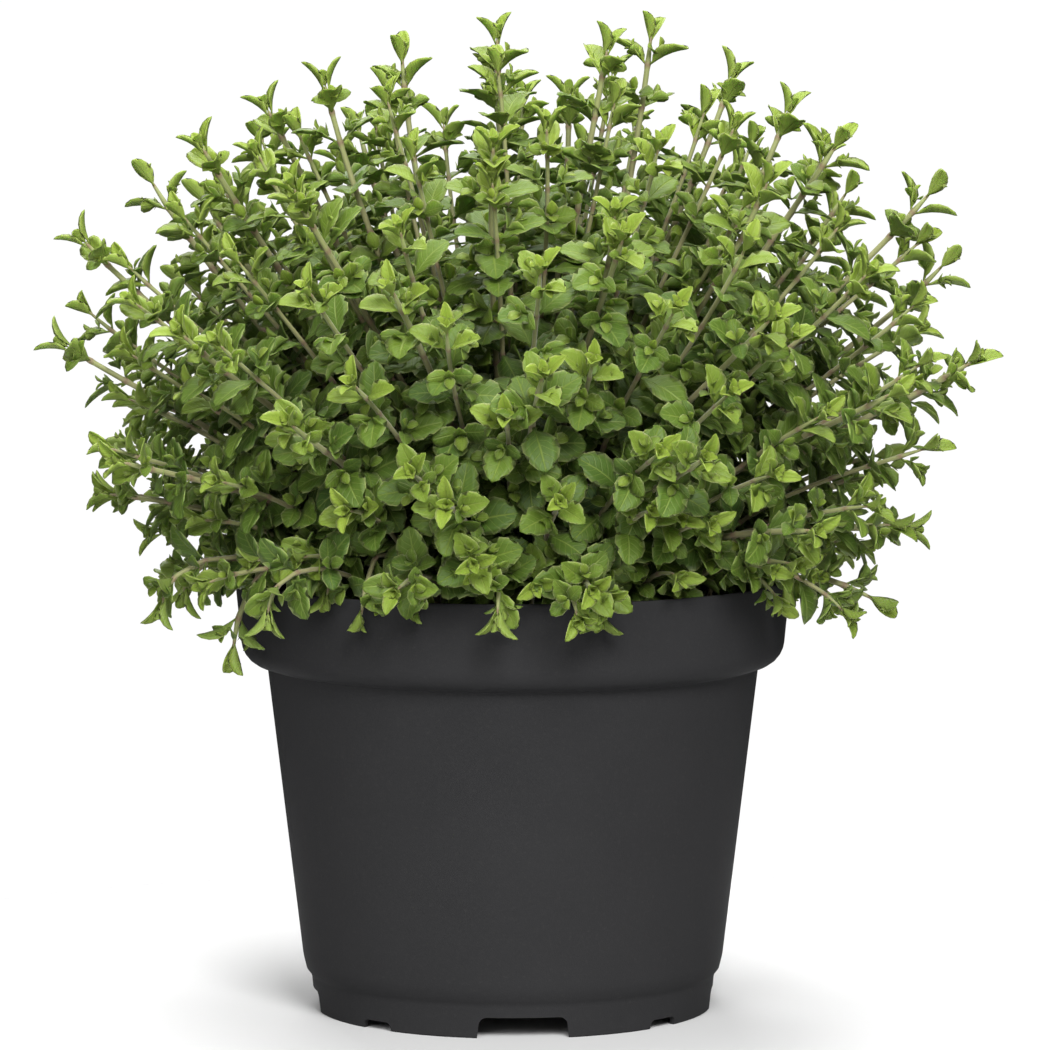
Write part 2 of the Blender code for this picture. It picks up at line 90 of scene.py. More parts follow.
SEED = 11
STEMS = 53
GOLDEN_ANGLE = math.pi * (3 - math.sqrt(5))
ROOT_DISC_RADIUS = 0.0600
DOME_CENTRE = Vector((0.0015, 0.0005, 0.203))
DOME_AXES = Vector((0.140, 0.133, 0.094))
DOME_LOWEST = -0.80
DOME_SQUARENESS = 2.8
TIP_JITTER = 0.05
TIP_LEAF_REACH = 0.007
STEM_HALF_WIDTH = 0.00105
TIP_HALF_WIDTH = 0.00080
NODE_HEIGHT = 0.0018
OUTLINE = (
    (-0.005, 0.303), (-0.035, 0.297), (-0.058, 0.289), (-0.077, 0.281), (-0.096, 0.270),
    (-0.115, 0.258), (-0.134, 0.240), (-0.142, 0.206), (-0.127, 0.160), (-0.112, 0.127),
    (0.029, 0.300), (0.043, 0.304), (0.070, 0.290), (0.087, 0.280), (0.100, 0.271),
    (0.131, 0.255), (0.138, 0.231), (0.144, 0.203), (0.128, 0.146), (0.115, 0.127),
)
HANGING_TIP = Vector((-0.084, -0.048, 0.109))
OUTLINE_DEPTH = 0.7
LEAF_PAIRS = (
    (0.0012, 0.0095, 0.0024, 62),
    (0.0075, 0.0120, 0.0038, 40),
    (0.0110, 0.0140, 0.0049, 26),
    (0.0140, 0.0150, 0.0055, 16),
    (0.0160, 0.0150, 0.0056, 8),
)
INNER_STEMS = 18
INNER_PAIRS = 4
BLADE_THICKNESS = 0.0009
LEAF_GAP = 0.0006
print("pot", POT_HEIGHT, "by", 2 * RIM_RADIUS, "with", STEMS, "stems")

# %% [markdown]
# ## Adding nodes
# Materials, the world and Geometry Nodes are all trees of nodes. One function adds a node with its
# settings, and gives each input a value or a link. Colours are written as they look on a screen, and a
# second function turns them into the linear values that the nodes work with.

# %% Nodes and colours


def linear(code):
    parts = [int(code[i:i + 2], 16) / 255 for i in (1, 3, 5)]
    return tuple(p / 12.92 if p <= 0.04045 else ((p + 0.055) / 1.055) ** 2.4 for p in parts) + (1.0,)


def feed(tree, node, inputs):
    """Sets a node's inputs. A node given as a value is linked by its first output, a socket by itself."""
    for key, value in inputs.items():
        if isinstance(value, bpy.types.Node):
            value = next(socket for socket in value.outputs if socket.enabled)
        if isinstance(value, bpy.types.NodeSocket):
            tree.links.new(value, node.inputs[key])
        else:
            node.inputs[key].default_value = value


def add_node(tree, kind, inputs=None, stops=(), **settings):
    """A new node with its settings, its inputs and, for a colour ramp, the place and colour of each stop."""
    node = tree.nodes.new(kind)
    for key, value in settings.items():
        setattr(node, key, value)
    while stops and len(node.color_ramp.elements) < len(stops):
        node.color_ramp.elements.new(0.5)
    for number, (place, code) in enumerate(stops):
        node.color_ramp.elements[number].position = place
        node.color_ramp.elements[number].color = linear(code)
    feed(tree, node, inputs or {})
    return node


print("mid grey", [round(part, 3) for part in linear("#808080")])

# %% [markdown]
# ## The camera
# A long lens from 1.8 m in front and a little above, as the photograph was taken, so that nothing is spread
# by perspective.

# %% Camera
LENS_DISTANCE = 1.798
LENS_HEIGHT = 0.3157
LENS_ACROSS = 0.0037
LENS_PITCH = 0.09295
LENS_MM = 202.46


def make_camera():
    data = bpy.data.cameras.new("view")
    data.lens = LENS_MM
    data.sensor_width = 36.0
    data.clip_end = 20.0
    seen = bpy.data.objects.new("view", data)
    seen.location = (LENS_ACROSS, -LENS_DISTANCE, LENS_HEIGHT)
    seen.rotation_euler = (math.pi / 2 - LENS_PITCH, 0.0, 0.0)
    bpy.context.scene.collection.objects.link(seen)
    bpy.context.scene.camera = seen
    return seen


camera = make_camera()
print("camera at", tuple(camera.location))

# %% [markdown]
# ## Studio light
# The backdrop is plain white, but the room that lights the plant is brighter in front than behind, as with
# a soft box beside the camera. So the round pot is palest in the middle and dark at its sides. A broad key
# light hangs in front and to the right, a weaker one to the left, one above, and a faint one behind that
# lights the edges of the leaves.

# %% Room and lamps
BACKDROP = 1.02
ROOM_IN_FRONT = 0.55
ROOM_BEHIND = 0.06
LAMPS = (
    ("key", (0.32, -1.30, 1.00), (0.0, 0.0, 0.14), 0.6, 28.0),
    ("fill", (-0.45, -1.35, 0.75), (0.0, 0.0, 0.12), 0.6, 8.0),
    ("top", (0.0, 0.20, 1.35), (0.0, 0.05, 0.2), 0.9, 21.0),
    ("back", (-0.25, 1.25, 1.05), (0.0, 0.0, 0.2), 0.7, 9.0),
)


def area_light(name, place, aim, size, power):
    data = bpy.data.lights.new(name, 'AREA')
    data.shape = 'SQUARE'
    data.size = size
    data.energy = power
    lamp = bpy.data.objects.new(name, data)
    lamp.location = place
    lamp.rotation_euler = (Vector(aim) - Vector(place)).to_track_quat('-Z', 'Y').to_euler()
    bpy.context.scene.collection.objects.link(lamp)


def make_world():
    """A white backdrop, in a room that is lit from the front more than from behind."""
    world = bpy.data.worlds.new("pale room")
    world.use_nodes = True
    tree = world.node_tree
    look = add_node(tree, "ShaderNodeTexCoord")
    split = add_node(tree, "ShaderNodeSeparateXYZ", {0: look.outputs["Generated"]})
    room = add_node(tree, "ShaderNodeMapRange", {
        "Value": split.outputs["Y"], "From Min": -0.9, "From Max": 0.2, "To Min": ROOM_IN_FRONT,
        "To Max": ROOM_BEHIND,
    })
    path = add_node(tree, "ShaderNodeLightPath")
    pick = add_node(tree, "ShaderNodeMix", {
        "Factor": path.outputs["Is Camera Ray"], "A": room.outputs["Result"], "B": BACKDROP,
    })
    back = tree.nodes["Background"]
    feed(tree, back, {"Color": (1.0, 1.0, 1.0, 1.0), "Strength": pick.outputs["Result"]})
    bpy.context.scene.world = world


make_world()
for lamp in LAMPS:
    area_light(*lamp)
bpy.context.scene.view_settings.view_transform = 'Standard'
print("lamps", [lamp[0] for lamp in LAMPS])

# %% [markdown]
# ## Starting a material
# Every material here is one shader with layers of colour over each other, each laid on where its own
# pattern says. Patterns are in object coordinates, in metres, so a noise of scale 1000 has grains about a
# millimetre across.

# %% Materials begin


def new_material(name):
    material = bpy.data.materials.new(name)
    material.use_nodes = True
    tree = material.node_tree
    return material, tree, tree.nodes["Principled BSDF"], partial(add_node, tree)


def paint_over(add, colour, layers):
    """Lays colours over a first one. A layer is a pattern, how strongly it counts, and a colour."""
    for pattern, weight, code in layers:
        share = add("ShaderNodeMath", {0: pattern, 1: weight}, operation='MULTIPLY')
        colour = add("ShaderNodeMix", {0: share, 6: colour, 7: linear(code)}, data_type='RGBA')
    return colour


print("ready: new_material, paint_over")

# %% [markdown]
# ## Leaf material
# An oregano leaf is thin, soft and covered in fine down, which dulls its gloss and gives a pale margin.
# Young leaves are a bright yellow-green, old ones a dull blue-green, and the underside is paler. Light
# comes through a little, so there is some subsurface. Every leaf carries its age together with painted
# shade (`tone`): leaves on stems whose tips sit low are made darker, as if less light reached them. It also
# carries its own chance value, and each point knows where it lies along and across the blade. The lateral
# veins leave the midrib at a slant, about seven to a side, as sunk lines. The down is finer than a pixel, so
# its bump is drawn as coarse as it needs.

# %% Leaf material
# Leaf colours by tone, which is a leaf's age together with painted shade for stems whose tips are low.
LEAF_AGE_AND_SHADE_RAMP = ((0.0, "#2a3f1f"), (0.3, "#395320"), (0.62, "#516b23"), (1.0, "#8da23b"))
VEIN_SLANT = 0.30
VEINS = 44.0


def vein_lines(add, along, side):
    """How much of a vein a point is: narrow slanting lines, and the midrib."""
    back = add("ShaderNodeMath", {0: side, 1: VEIN_SLANT}, operation='MULTIPLY')
    slant = add("ShaderNodeMath", {0: along, 1: back}, operation='SUBTRACT')
    turns = add("ShaderNodeMath", {0: slant, 1: VEINS}, operation='MULTIPLY')
    wave = add("ShaderNodeMath", {0: turns}, operation='SINE')
    crest = add("ShaderNodeMath", {0: wave, 1: 0.0}, operation='MAXIMUM')
    vein = add("ShaderNodeMath", {0: crest, 1: 10.0}, operation='POWER')
    faint = add("ShaderNodeMath", {0: vein, 1: 0.45}, operation='MULTIPLY')
    away = add("ShaderNodeMath", {0: side, 1: 12.0}, operation='MULTIPLY')
    level = add("ShaderNodeMath", {0: away, 1: 1.0, 2: 0.1}, operation='SMOOTH_MIN')
    rib = add("ShaderNodeMath", {0: 1.0, 1: level}, operation='SUBTRACT')
    midrib = add("ShaderNodeMath", {0: rib, 1: 0.0}, operation='MAXIMUM')
    return add("ShaderNodeMath", {0: faint, 1: midrib}, operation='MAXIMUM')


def leaf_material():
    material, tree, shader, add = new_material("downy oregano leaf")
    tone, chance, along, across, under = [
        add("ShaderNodeAttribute", attribute_name=name).outputs["Fac"]
        for name in ("tone", "chance", "along", "across", "under")
    ]
    place = add("ShaderNodeTexCoord").outputs["Object"]
    side = add("ShaderNodeMath", {0: across}, operation='ABSOLUTE')
    lines = vein_lines(add, along, side)
    edge = add("ShaderNodeMath", {0: side, 1: 11.0}, operation='POWER')
    patch = add("ShaderNodeTexNoise", {"Vector": place, "Scale": 260.0, "Detail": 3.0, "Roughness": 0.6})
    colour = paint_over(add, add("ShaderNodeValToRGB", {0: tone}, LEAF_AGE_AND_SHADE_RAMP), (
        (patch, 0.35, "#20330e"), (chance, 0.25, "#708327"), (lines, 0.34, "#9cab54"),
        (edge, 0.70, "#b3bf78"), (under, 0.40, "#76864a"),
    ))
    down = add("ShaderNodeTexNoise", {"Vector": place, "Scale": 1400.0, "Detail": 2.0, "Roughness": 0.6})
    raised = add("ShaderNodeMath", {0: down, 1: 0.5}, operation='MULTIPLY')
    sunk = add("ShaderNodeMath", {0: lines, 1: 0.9}, operation='MULTIPLY')
    height = add("ShaderNodeMath", {0: raised, 1: sunk}, operation='SUBTRACT')
    bump = add("ShaderNodeBump", {"Height": height, "Strength": 0.70, "Distance": 0.0003})
    feed(tree, shader, {
        "Base Color": colour, "Normal": bump, "Roughness": 0.52, "IOR": 1.45, "Specular IOR Level": 0.32,
        "Subsurface Weight": 0.15, "Subsurface Radius": (0.6, 1.0, 0.2), "Subsurface Scale": 0.0012,
        "Sheen Weight": 0.06, "Sheen Roughness": 0.4, "Sheen Tint": linear("#dfe6b8"),
    })
    return material


LEAF = leaf_material()
print("leaf nodes", len(LEAF.node_tree.nodes))

# %% [markdown]
# ## Stem material
# The stems are pale straw green above and woody brown below, matt with fine down, and pinkish at every
# node. The flecks are drawn out along the stem, as its fibres are.

# %% Stem material
STEM_AGES = ((0.0, "#54452f"), (0.4, "#77704a"), (0.75, "#8e8c5f"), (1.0, "#8f9a5c"))


def stem_material():
    material, tree, shader, add = new_material("downy oregano stem")
    tone, blush = [
        add("ShaderNodeAttribute", attribute_name=name).outputs["Fac"] for name in ("tone", "blush")
    ]
    place = add("ShaderNodeTexCoord").outputs["Object"]
    drawn = add("ShaderNodeMapping", {"Vector": place, "Scale": (1.0, 1.0, 0.12)})
    fleck = add("ShaderNodeTexNoise", {"Vector": drawn, "Scale": 1500.0, "Detail": 2.0, "Roughness": 0.6})
    colour = paint_over(add, add("ShaderNodeValToRGB", {0: tone}, STEM_AGES), (
        (fleck, 0.4, "#6a6540"), (blush, 0.70, "#76524a"),
    ))
    bump = add("ShaderNodeBump", {"Height": fleck, "Strength": 0.4, "Distance": 0.0002})
    feed(tree, shader, {
        "Base Color": colour, "Normal": bump, "Roughness": 0.62, "Sheen Weight": 0.20,
        "Sheen Roughness": 0.5,
    })
    return material


STEM = stem_material()
print("stem nodes", len(STEM.node_tree.nodes))

# %% [markdown]
# ## Pot material
# The pot is polypropylene with soot in it, moulded in one shot. It gives the eye a near-black with a faint
# satin skin: a fine moulded grain of about half a millimetre, very faint upright marks from the mould, a
# slow change of shade and a little dust. Its gloss is kept very low, because a white table would otherwise
# show in its sides as a pale glare.

# %% Pot material


def plastic_material():
    material, tree, shader, add = new_material("moulded black polypropylene")
    place = add("ShaderNodeTexCoord").outputs["Object"]
    grain = add("ShaderNodeTexNoise", {"Vector": place, "Scale": 2300.0, "Detail": 2.0, "Roughness": 0.55})
    cloud = add("ShaderNodeTexNoise", {"Vector": place, "Scale": 28.0, "Detail": 3.0, "Roughness": 0.6})
    drawn = add("ShaderNodeMapping", {"Vector": place, "Scale": (1.0, 1.0, 0.06)})
    mark = add("ShaderNodeTexNoise", {"Vector": drawn, "Scale": 240.0, "Detail": 2.0, "Roughness": 0.5})
    speck = add("ShaderNodeTexNoise", {"Vector": place, "Scale": 900.0, "Detail": 2.0, "Roughness": 0.7})
    dust = add("ShaderNodeMath", {0: speck, 1: 7.0}, operation='POWER')
    colour = paint_over(add, linear("#2a2a2b"), ((cloud, 0.5, "#333334"), (dust, 0.6, "#565451")))
    worn = add("ShaderNodeMath", {0: cloud, 1: 0.10}, operation='MULTIPLY')
    rough = add("ShaderNodeMath", {0: worn, 1: 0.52}, operation='ADD')
    faint = add("ShaderNodeMath", {0: mark, 1: 0.5}, operation='MULTIPLY')
    height = add("ShaderNodeMath", {0: grain, 1: faint}, operation='ADD')
    bump = add("ShaderNodeBump", {"Height": height, "Strength": 0.22, "Distance": 0.0002})
    feed(tree, shader, {
        "Base Color": colour, "Normal": bump, "Roughness": rough, "IOR": 1.49, "Specular IOR Level": 0.015,
    })
    return material


PLASTIC = plastic_material()
print("plastic nodes", len(PLASTIC.node_tree.nodes))

# %% [markdown]
# ## Soil material
# Potting soil is peat with bits of bark: matt, dark, and made of crumbs of 2 to 3 mm that differ in shade.

# %% Soil material
SOIL_SHADES = ((0.0, "#1b130e"), (0.6, "#35261b"), (1.0, "#5b4431"))


def soil_material():
    material, tree, shader, add = new_material("peat and bark potting soil")
    place = add("ShaderNodeTexCoord").outputs["Object"]
    crumb = add("ShaderNodeTexVoronoi", {"Vector": place, "Scale": 420.0})
    colour = add("ShaderNodeValToRGB", {0: crumb.outputs["Color"]}, SOIL_SHADES)
    rough = add("ShaderNodeTexNoise", {"Vector": place, "Scale": 900.0, "Detail": 4.0, "Roughness": 0.7})
    bump = add("ShaderNodeBump", {"Height": rough, "Strength": 0.8, "Distance": 0.0008})
    feed(tree, shader, {"Base Color": colour, "Normal": bump, "Roughness": 0.92})
    return material


EARTH = soil_material()
print("soil nodes", len(EARTH.node_tree.nodes))

# %% [markdown]
# ## Small mesh helpers
# A finished piece is one mesh at the origin that rides on the plant's one body. Modifiers and node trees
# are always turned into a plain mesh first.

# %% Mesh helpers


def piece(name, mesh, materials):
    made = bpy.data.objects.new(name, mesh)
    bpy.context.scene.collection.objects.link(made)
    mesh.materials.clear()
    for material in materials:
        mesh.materials.append(material)
    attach(made, "root")
    return made


def finished_mesh(source, name):
    """The mesh that an object's modifiers make, as a plain mesh, with the object removed."""
    graph = bpy.context.evaluated_depsgraph_get()
    mesh = bpy.data.meshes.new_from_object(source.evaluated_get(graph))
    mesh.name = name
    bpy.data.objects.remove(source)
    return mesh


# %% [markdown]
# ## The pot
# The pot is turned from one profile, as its mould was. The profile is the solid's with small rounds where
# that has plain corners, and it is turned in 192 steps so that its highlights run smoothly.

# %% Pot profile
POT_STEPS = 192


def pot_profile():
    inner_foot = BODY_FOOT_RADIUS - WALL
    rim_foot = CREASE_HEIGHT
    return [
        (0.0, FLOOR_TOP),
        (FOOT_RADIUS - 0.0026, FLOOR_TOP),
        (FOOT_RADIUS - 0.0020, FLOOR_TOP + 0.0003),
        (inner_foot, BODY_FOOT_HEIGHT + 0.0010),
        (CREASE_RADIUS - WALL, rim_foot + 0.0008),
        (CREASE_RADIUS - 0.0007, rim_foot + 0.0026),
        (RIM_LOWER_RADIUS - 0.0034, rim_foot + 0.0042),
        (RIM_LOWER_RADIUS - 0.0022, rim_foot + 0.0054),
        (RIM_LOWER_RADIUS - 0.0015, rim_foot + 0.0076),
        (RIM_RADIUS - 0.0015, POT_HEIGHT - 0.0004),
        (RIM_RADIUS - 0.0013, POT_HEIGHT - 0.0001),
        (RIM_RADIUS - 0.0010, POT_HEIGHT),
        (RIM_RADIUS - 0.0005, POT_HEIGHT),
        (RIM_RADIUS - 0.0002, POT_HEIGHT - 0.0001),
        (RIM_RADIUS, POT_HEIGHT - 0.0005),
        (RIM_RADIUS - 0.0001, POT_HEIGHT - 0.0012),
        (RIM_LOWER_RADIUS, rim_foot + 0.0076),
        (RIM_LOWER_RADIUS - 0.0003, rim_foot + 0.0060),
        (RIM_LOWER_RADIUS - 0.0011, rim_foot + 0.0042),
        (RIM_LOWER_RADIUS - 0.0024, rim_foot + 0.0026),
        (RIM_LOWER_RADIUS - 0.0040, rim_foot + 0.0015),
        (CREASE_RADIUS + 0.0016, rim_foot + 0.0008),
        (CREASE_RADIUS + 0.0005, rim_foot + 0.0004),
        (CREASE_RADIUS, rim_foot - 0.0004),
        (BODY_FOOT_RADIUS + 0.0001, BODY_FOOT_HEIGHT + 0.0008),
        (BODY_FOOT_RADIUS - 0.0002, BODY_FOOT_HEIGHT - 0.0010),
        (BODY_FOOT_RADIUS - 0.0010, FOOT_HEIGHT + 0.0022),
        (FOOT_RADIUS + 0.0004, FOOT_HEIGHT + 0.0008),
        (FOOT_RADIUS, FOOT_HEIGHT),
        (FOOT_RADIUS - 0.0002, FOOT_HEIGHT - 0.0008),
        (FOOT_BOTTOM_RADIUS, 0.0004),
        (FOOT_BOTTOM_RADIUS - 0.0004, 0.0),
        (FOOT_BOTTOM_RADIUS - 0.0018, 0.0),
        (FOOT_RADIUS - 0.0022, FLOOR_TOP - 0.0015),
        (0.0, FLOOR_TOP - 0.0015),
    ]


def turned_object(name, profile, steps):
    mesh = bpy.data.meshes.new(name)
    edges = [(i, i + 1) for i in range(len(profile) - 1)]
    mesh.from_pydata([(r, 0.0, z) for r, z in profile], edges, [])
    made = bpy.data.objects.new(name, mesh)
    bpy.context.scene.collection.objects.link(made)
    screw = made.modifiers.new("turn", 'SCREW')
    screw.axis = 'Z'
    screw.angle = math.tau
    screw.steps = steps
    screw.render_steps = steps
    screw.use_merge_vertices = True
    screw.merge_threshold = 0.00002
    return made


print("profile points", len(pot_profile()))

# %% [markdown]
# ## Notches and drain holes
# The foot ring is notched so that water can run out, wide and narrow by turns, and the floor has four
# holes. They are cut out of the turned pot with blocks whose upper edges are rounded, and with round pegs.

# %% Pot
NOTCH_REACH = 0.012
NOTCH_TAPER = 0.93
NOTCH_ROUND = 0.0022
PEG_HEIGHT = 0.006
SHARP_EDGE = math.radians(38)


def turned_to(index, count):
    return -math.pi / 2 + NOTCH_TURN + index * math.tau / count


def notch_blocks():
    bm = bmesh.new()
    for index in range(NOTCHES):
        width, height = SHALLOW_NOTCH if index % 2 else DEEP_NOTCH
        block = bmesh.ops.create_cube(bm, size=1.0)["verts"]
        for vert in block:
            taper = 1.0 if vert.co.z < 0 else NOTCH_TAPER
            out = vert.co.x * NOTCH_REACH + FOOT_BOTTOM_RADIUS - 0.0005
            vert.co = (out, vert.co.y * width * taper, height if vert.co.z > 0 else -0.002)
        tops = [
            edge for edge in {e for v in block for e in v.link_edges}
            if all(v.co.z > 0 for v in edge.verts) and abs(edge.verts[0].co.x - edge.verts[1].co.x) > 0.001
        ]
        offset = min(NOTCH_ROUND, height * 0.6)
        bent = bmesh.ops.bevel(bm, geom=tops, offset=offset, segments=6, profile=0.5, affect='EDGES')
        whole = {v for v in block if v.is_valid} | set(bent["verts"])
        turn = Matrix.Rotation(turned_to(index, NOTCHES), 3, 'Z')
        bmesh.ops.rotate(bm, verts=list(whole), cent=(0, 0, 0), matrix=turn)
    for index in range(DRAIN_HOLES):
        angle = turned_to(index, DRAIN_HOLES)
        peg = bmesh.ops.create_cone(bm, cap_ends=True, segments=32, radius1=DRAIN_HOLE_RADIUS,
                                    radius2=DRAIN_HOLE_RADIUS, depth=PEG_HEIGHT)["verts"]
        spot = Vector((math.cos(angle), math.sin(angle), 0.0)) * DRAIN_HOLE_RING
        bmesh.ops.translate(bm, verts=peg, vec=(spot.x, spot.y, FLOOR_TOP - 0.001))
    mesh = bpy.data.meshes.new("notch blocks")
    bm.to_mesh(mesh)
    bm.free()
    return mesh


def make_pot():
    turned = turned_object("turned pot", pot_profile(), POT_STEPS)
    blocks = bpy.data.objects.new("notch blocks", notch_blocks())
    bpy.context.scene.collection.objects.link(blocks)
    cut = turned.modifiers.new("notches", 'BOOLEAN')
    cut.operation = 'DIFFERENCE'
    cut.solver = 'EXACT'
    cut.object = blocks
    mesh = finished_mesh(turned, "pot_body")
    bpy.data.objects.remove(blocks)
    mesh.shade_smooth()
    mesh.set_sharp_from_angle(angle=SHARP_EDGE)
    made = piece("pot_body", mesh, [PLASTIC])
    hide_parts("pot")
    return made


pot_body = make_pot()
print("pot faces", len(pot_body.data.polygons))

# %% [markdown]
# ## The soil
# A turned bed of soil fills the pot. Its top is broken up by waves and chance, and 900 crumbs of bark and
# peat are strewn on it.

# %% Soil bed
SOIL_STEPS = 120
SOIL_RINGS = 26
SOIL_SEED = 5
UNEVENNESS = 0.0006
CRUMBS = 900
CRUMB_RADIUS = 0.080


def soil_top(x, y):
    share = math.hypot(x, y) / (RIM_LOWER_RADIUS - 0.0012)
    return SOIL_CROWN_HEIGHT + (SOIL_EDGE_HEIGHT - SOIL_CROWN_HEIGHT) * share


def soil_profile():
    rim_inside = RIM_LOWER_RADIUS - 0.0015
    drop = SOIL_EDGE_HEIGHT - SOIL_CROWN_HEIGHT
    rings = range(SOIL_RINGS + 1)
    top = [(rim_inside * k / SOIL_RINGS, SOIL_CROWN_HEIGHT + drop * k / SOIL_RINGS) for k in rings]
    return top + [
        (rim_inside - 0.0004, CREASE_HEIGHT + 0.0078),
        (RIM_LOWER_RADIUS - 0.0040, CREASE_HEIGHT + 0.0052),
        (CREASE_RADIUS - 0.0017, CREASE_HEIGHT + 0.0032),
        (BODY_FOOT_RADIUS - WALL - 0.0006, BODY_FOOT_HEIGHT + 0.0014),
        (FOOT_RADIUS - 0.0030, FLOOR_TOP + 0.0004),
        (0.0, FLOOR_TOP + 0.0004),
    ]


def waves(x, y):
    broad = math.sin(x * 510) * math.sin(y * 470)
    return broad + 0.6 * math.sin(x * 1130 + 2) * math.sin(y * 990 + 1)


def uneven(mesh, draw):
    for vert in mesh.vertices:
        x, y, z = vert.co
        if z > SOIL_EDGE_HEIGHT - 0.0005:
            vert.co.z += UNEVENNESS * waves(x, y) + draw.uniform(-0.0004, 0.0002) - UNEVENNESS


def strew_crumbs(mesh, draw):
    bm = bmesh.new()
    bm.from_mesh(mesh)
    for _ in range(CRUMBS):
        radius = CRUMB_RADIUS * math.sqrt(draw.random())
        angle = draw.uniform(0, math.tau)
        x, y = radius * math.cos(angle), radius * math.sin(angle)
        size = draw.uniform(0.0006, 0.0019)
        grain = bmesh.ops.create_icosphere(bm, subdivisions=1, radius=size)["verts"]
        long = draw.uniform(0.7, 2.2)
        turn = Matrix.Rotation(draw.uniform(0, math.pi), 3, 'Z')
        for vert in grain:
            stretched = Vector((vert.co.x * long, vert.co.y, vert.co.z * 0.7)) * draw.uniform(0.8, 1.15)
            vert.co = turn @ stretched + Vector((x, y, soil_top(x, y) - 0.0002))
    bm.to_mesh(mesh)
    bm.free()


def make_soil():
    draw = random.Random(SOIL_SEED)
    mesh = finished_mesh(turned_object("soil bed", soil_profile(), SOIL_STEPS), "soil_bed")
    uneven(mesh, draw)
    strew_crumbs(mesh, draw)
    mesh.shade_smooth()
    made = piece("soil_bed", mesh, [EARTH])
    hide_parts("potting_soil")
    return made


soil_bed = make_soil()
print("soil faces", len(soil_bed.data.polygons))

# %% [markdown]
# ## Curves for the stems
# Fifty or more stems come up from the soil one by one. Their roots lie in a sunflower pattern and their
# tips lie evenly over a dome that is squarer below. The tips nearest the outline are moved to where the
# photograph has it, and one shoot hangs over the rim. A curve with four handles takes each stem from its
# root to its tip: up first, then outwards, and over the pot's rim. The rule is the one that the solids
# follow, from the same seed.

# %% Tips
FIRST_ANGLE = 0.4
DEPTH_WEIGHT = 0.6


def dome_point(share, angle, reach):
    level = 1 - share * (1 - DOME_LOWEST)
    power = 2 if level > 0 else DOME_SQUARENESS
    flat = (1 - abs(level) ** power) ** (1 / power)
    unit = Vector((flat * math.cos(angle), flat * math.sin(angle), level))
    return DOME_CENTRE + Vector((unit[i] * DOME_AXES[i] * reach for i in range(3)))


def off_outline(tip, across, up):
    return (tip.x - across) ** 2 + (tip.z - up) ** 2 + DEPTH_WEIGHT * tip.y ** 2


def stem_tips(draw):
    tips = []
    for index in range(STEMS):
        share = (index + 0.5) / STEMS
        reach = 1 + draw.uniform(-TIP_JITTER, TIP_JITTER * 0.3)
        tips.append(dome_point(share, index * GOLDEN_ANGLE + FIRST_ANGLE, reach))
    free = list(range(STEMS))
    for across, up in OUTLINE:
        near = min(free, key=lambda i: off_outline(tips[i], across, up))
        free.remove(near)
        tips[near] = Vector((across, tips[near].y * OUTLINE_DEPTH, up))
    tips[min(free, key=lambda i: (tips[i] - HANGING_TIP).length)] = HANGING_TIP.copy()
    return tips


heights = [tip.z for tip in stem_tips(random.Random(SEED))]
print("tips", len(heights), "from", round(min(heights), 3), "to", round(max(heights), 3))

# %% [markdown]
# ## Routes over the rim
# A stem that would pass through the pot's rim is lifted, a little more with every try, until it clears it.

# %% Routes
ROOT_LIFT = 0.004
RIM_BAND = (0.0765, 0.0885)
RIM_CLEARANCE = 0.0045
HANGING_BELOW = 0.008
HANGING_OUT = 0.25
LEAN_ABOVE = 0.9
LEAN_BELOW = 1.15
LEAN_UP = 0.62
HANDLE = 0.36
SWAY = 0.04
ROUTE_TRIES = 12
LIFT_STEP = 0.05
ARCH_STEP = 0.0025
TEST_POINTS = 40


def bezier(points, t):
    a, b, c, d = points
    u = 1 - t
    return a * u ** 3 + b * (3 * u * u * t) + c * (3 * u * t * t) + d * t ** 3


def clears_rim(points):
    near, far = RIM_BAND
    for point in points:
        if near < math.hypot(point.x, point.y) < far and point.z < POT_HEIGHT + RIM_CLEARANCE:
            return False
    return True


def end_lean(tip):
    """The way a stem points at its end: outwards and up, or down where it hangs over the rim."""
    out = tip - DOME_CENTRE
    out = Vector((out[i] / DOME_AXES[i] for i in range(3))).normalized()
    if tip.z < POT_HEIGHT - HANGING_BELOW:
        return Vector((out.x * HANGING_OUT, out.y * HANGING_OUT, -1.0)).normalized()
    return Vector((out.x, out.y, out.z * (LEAN_ABOVE if out.z > 0 else LEAN_BELOW) + LEAN_UP)).normalized()


def route_between(root, tip, draw):
    lean = end_lean(tip)
    end = tip - lean * TIP_LEAF_REACH
    span = (end - root).length
    sway = Vector((draw.uniform(-1, 1), draw.uniform(-1, 1), 0.0)) * span * SWAY
    lift = HANDLE
    arch = 0.0
    for _ in range(ROUTE_TRIES):
        crown = Vector((0, 0, span * lift))
        points = (root, root + crown, end - lean * span * HANDLE + sway + Vector((0, 0, arch)), end)
        if clears_rim([bezier(points, step / TEST_POINTS) for step in range(TEST_POINTS + 1)]):
            break
        lift += LIFT_STEP
        arch += ARCH_STEP
    return points


def root_spot(radius, angle, lift):
    root = Vector((radius * math.cos(angle), radius * math.sin(angle), 0.0))
    root.z = soil_top(root.x, root.y) + lift
    return root


def stem_route(index, tip, draw):
    radius = ROOT_DISC_RADIUS * math.sqrt((index + 0.5) / STEMS)
    root = root_spot(radius, index * GOLDEN_ANGLE + FIRST_ANGLE, ROOT_LIFT)
    return route_between(root, tip, draw)


print("first root at", tuple(round(v, 4) for v in stem_route(0, DOME_CENTRE, random.Random(SEED))[0]))

# %% [markdown]
# ## A stem's square section
# Oregano stems are square. A frame of three directions is carried along the curve without twisting, so that
# the four sides stay flat, and the stem gets a little thinner towards its tip.

# %% Frames along a stem
FRAME_STEPS = 120
SLOPE_STEP = 0.004
CORNERS = ((-1, -1), (1, -1), (1, 1), (-1, 1))


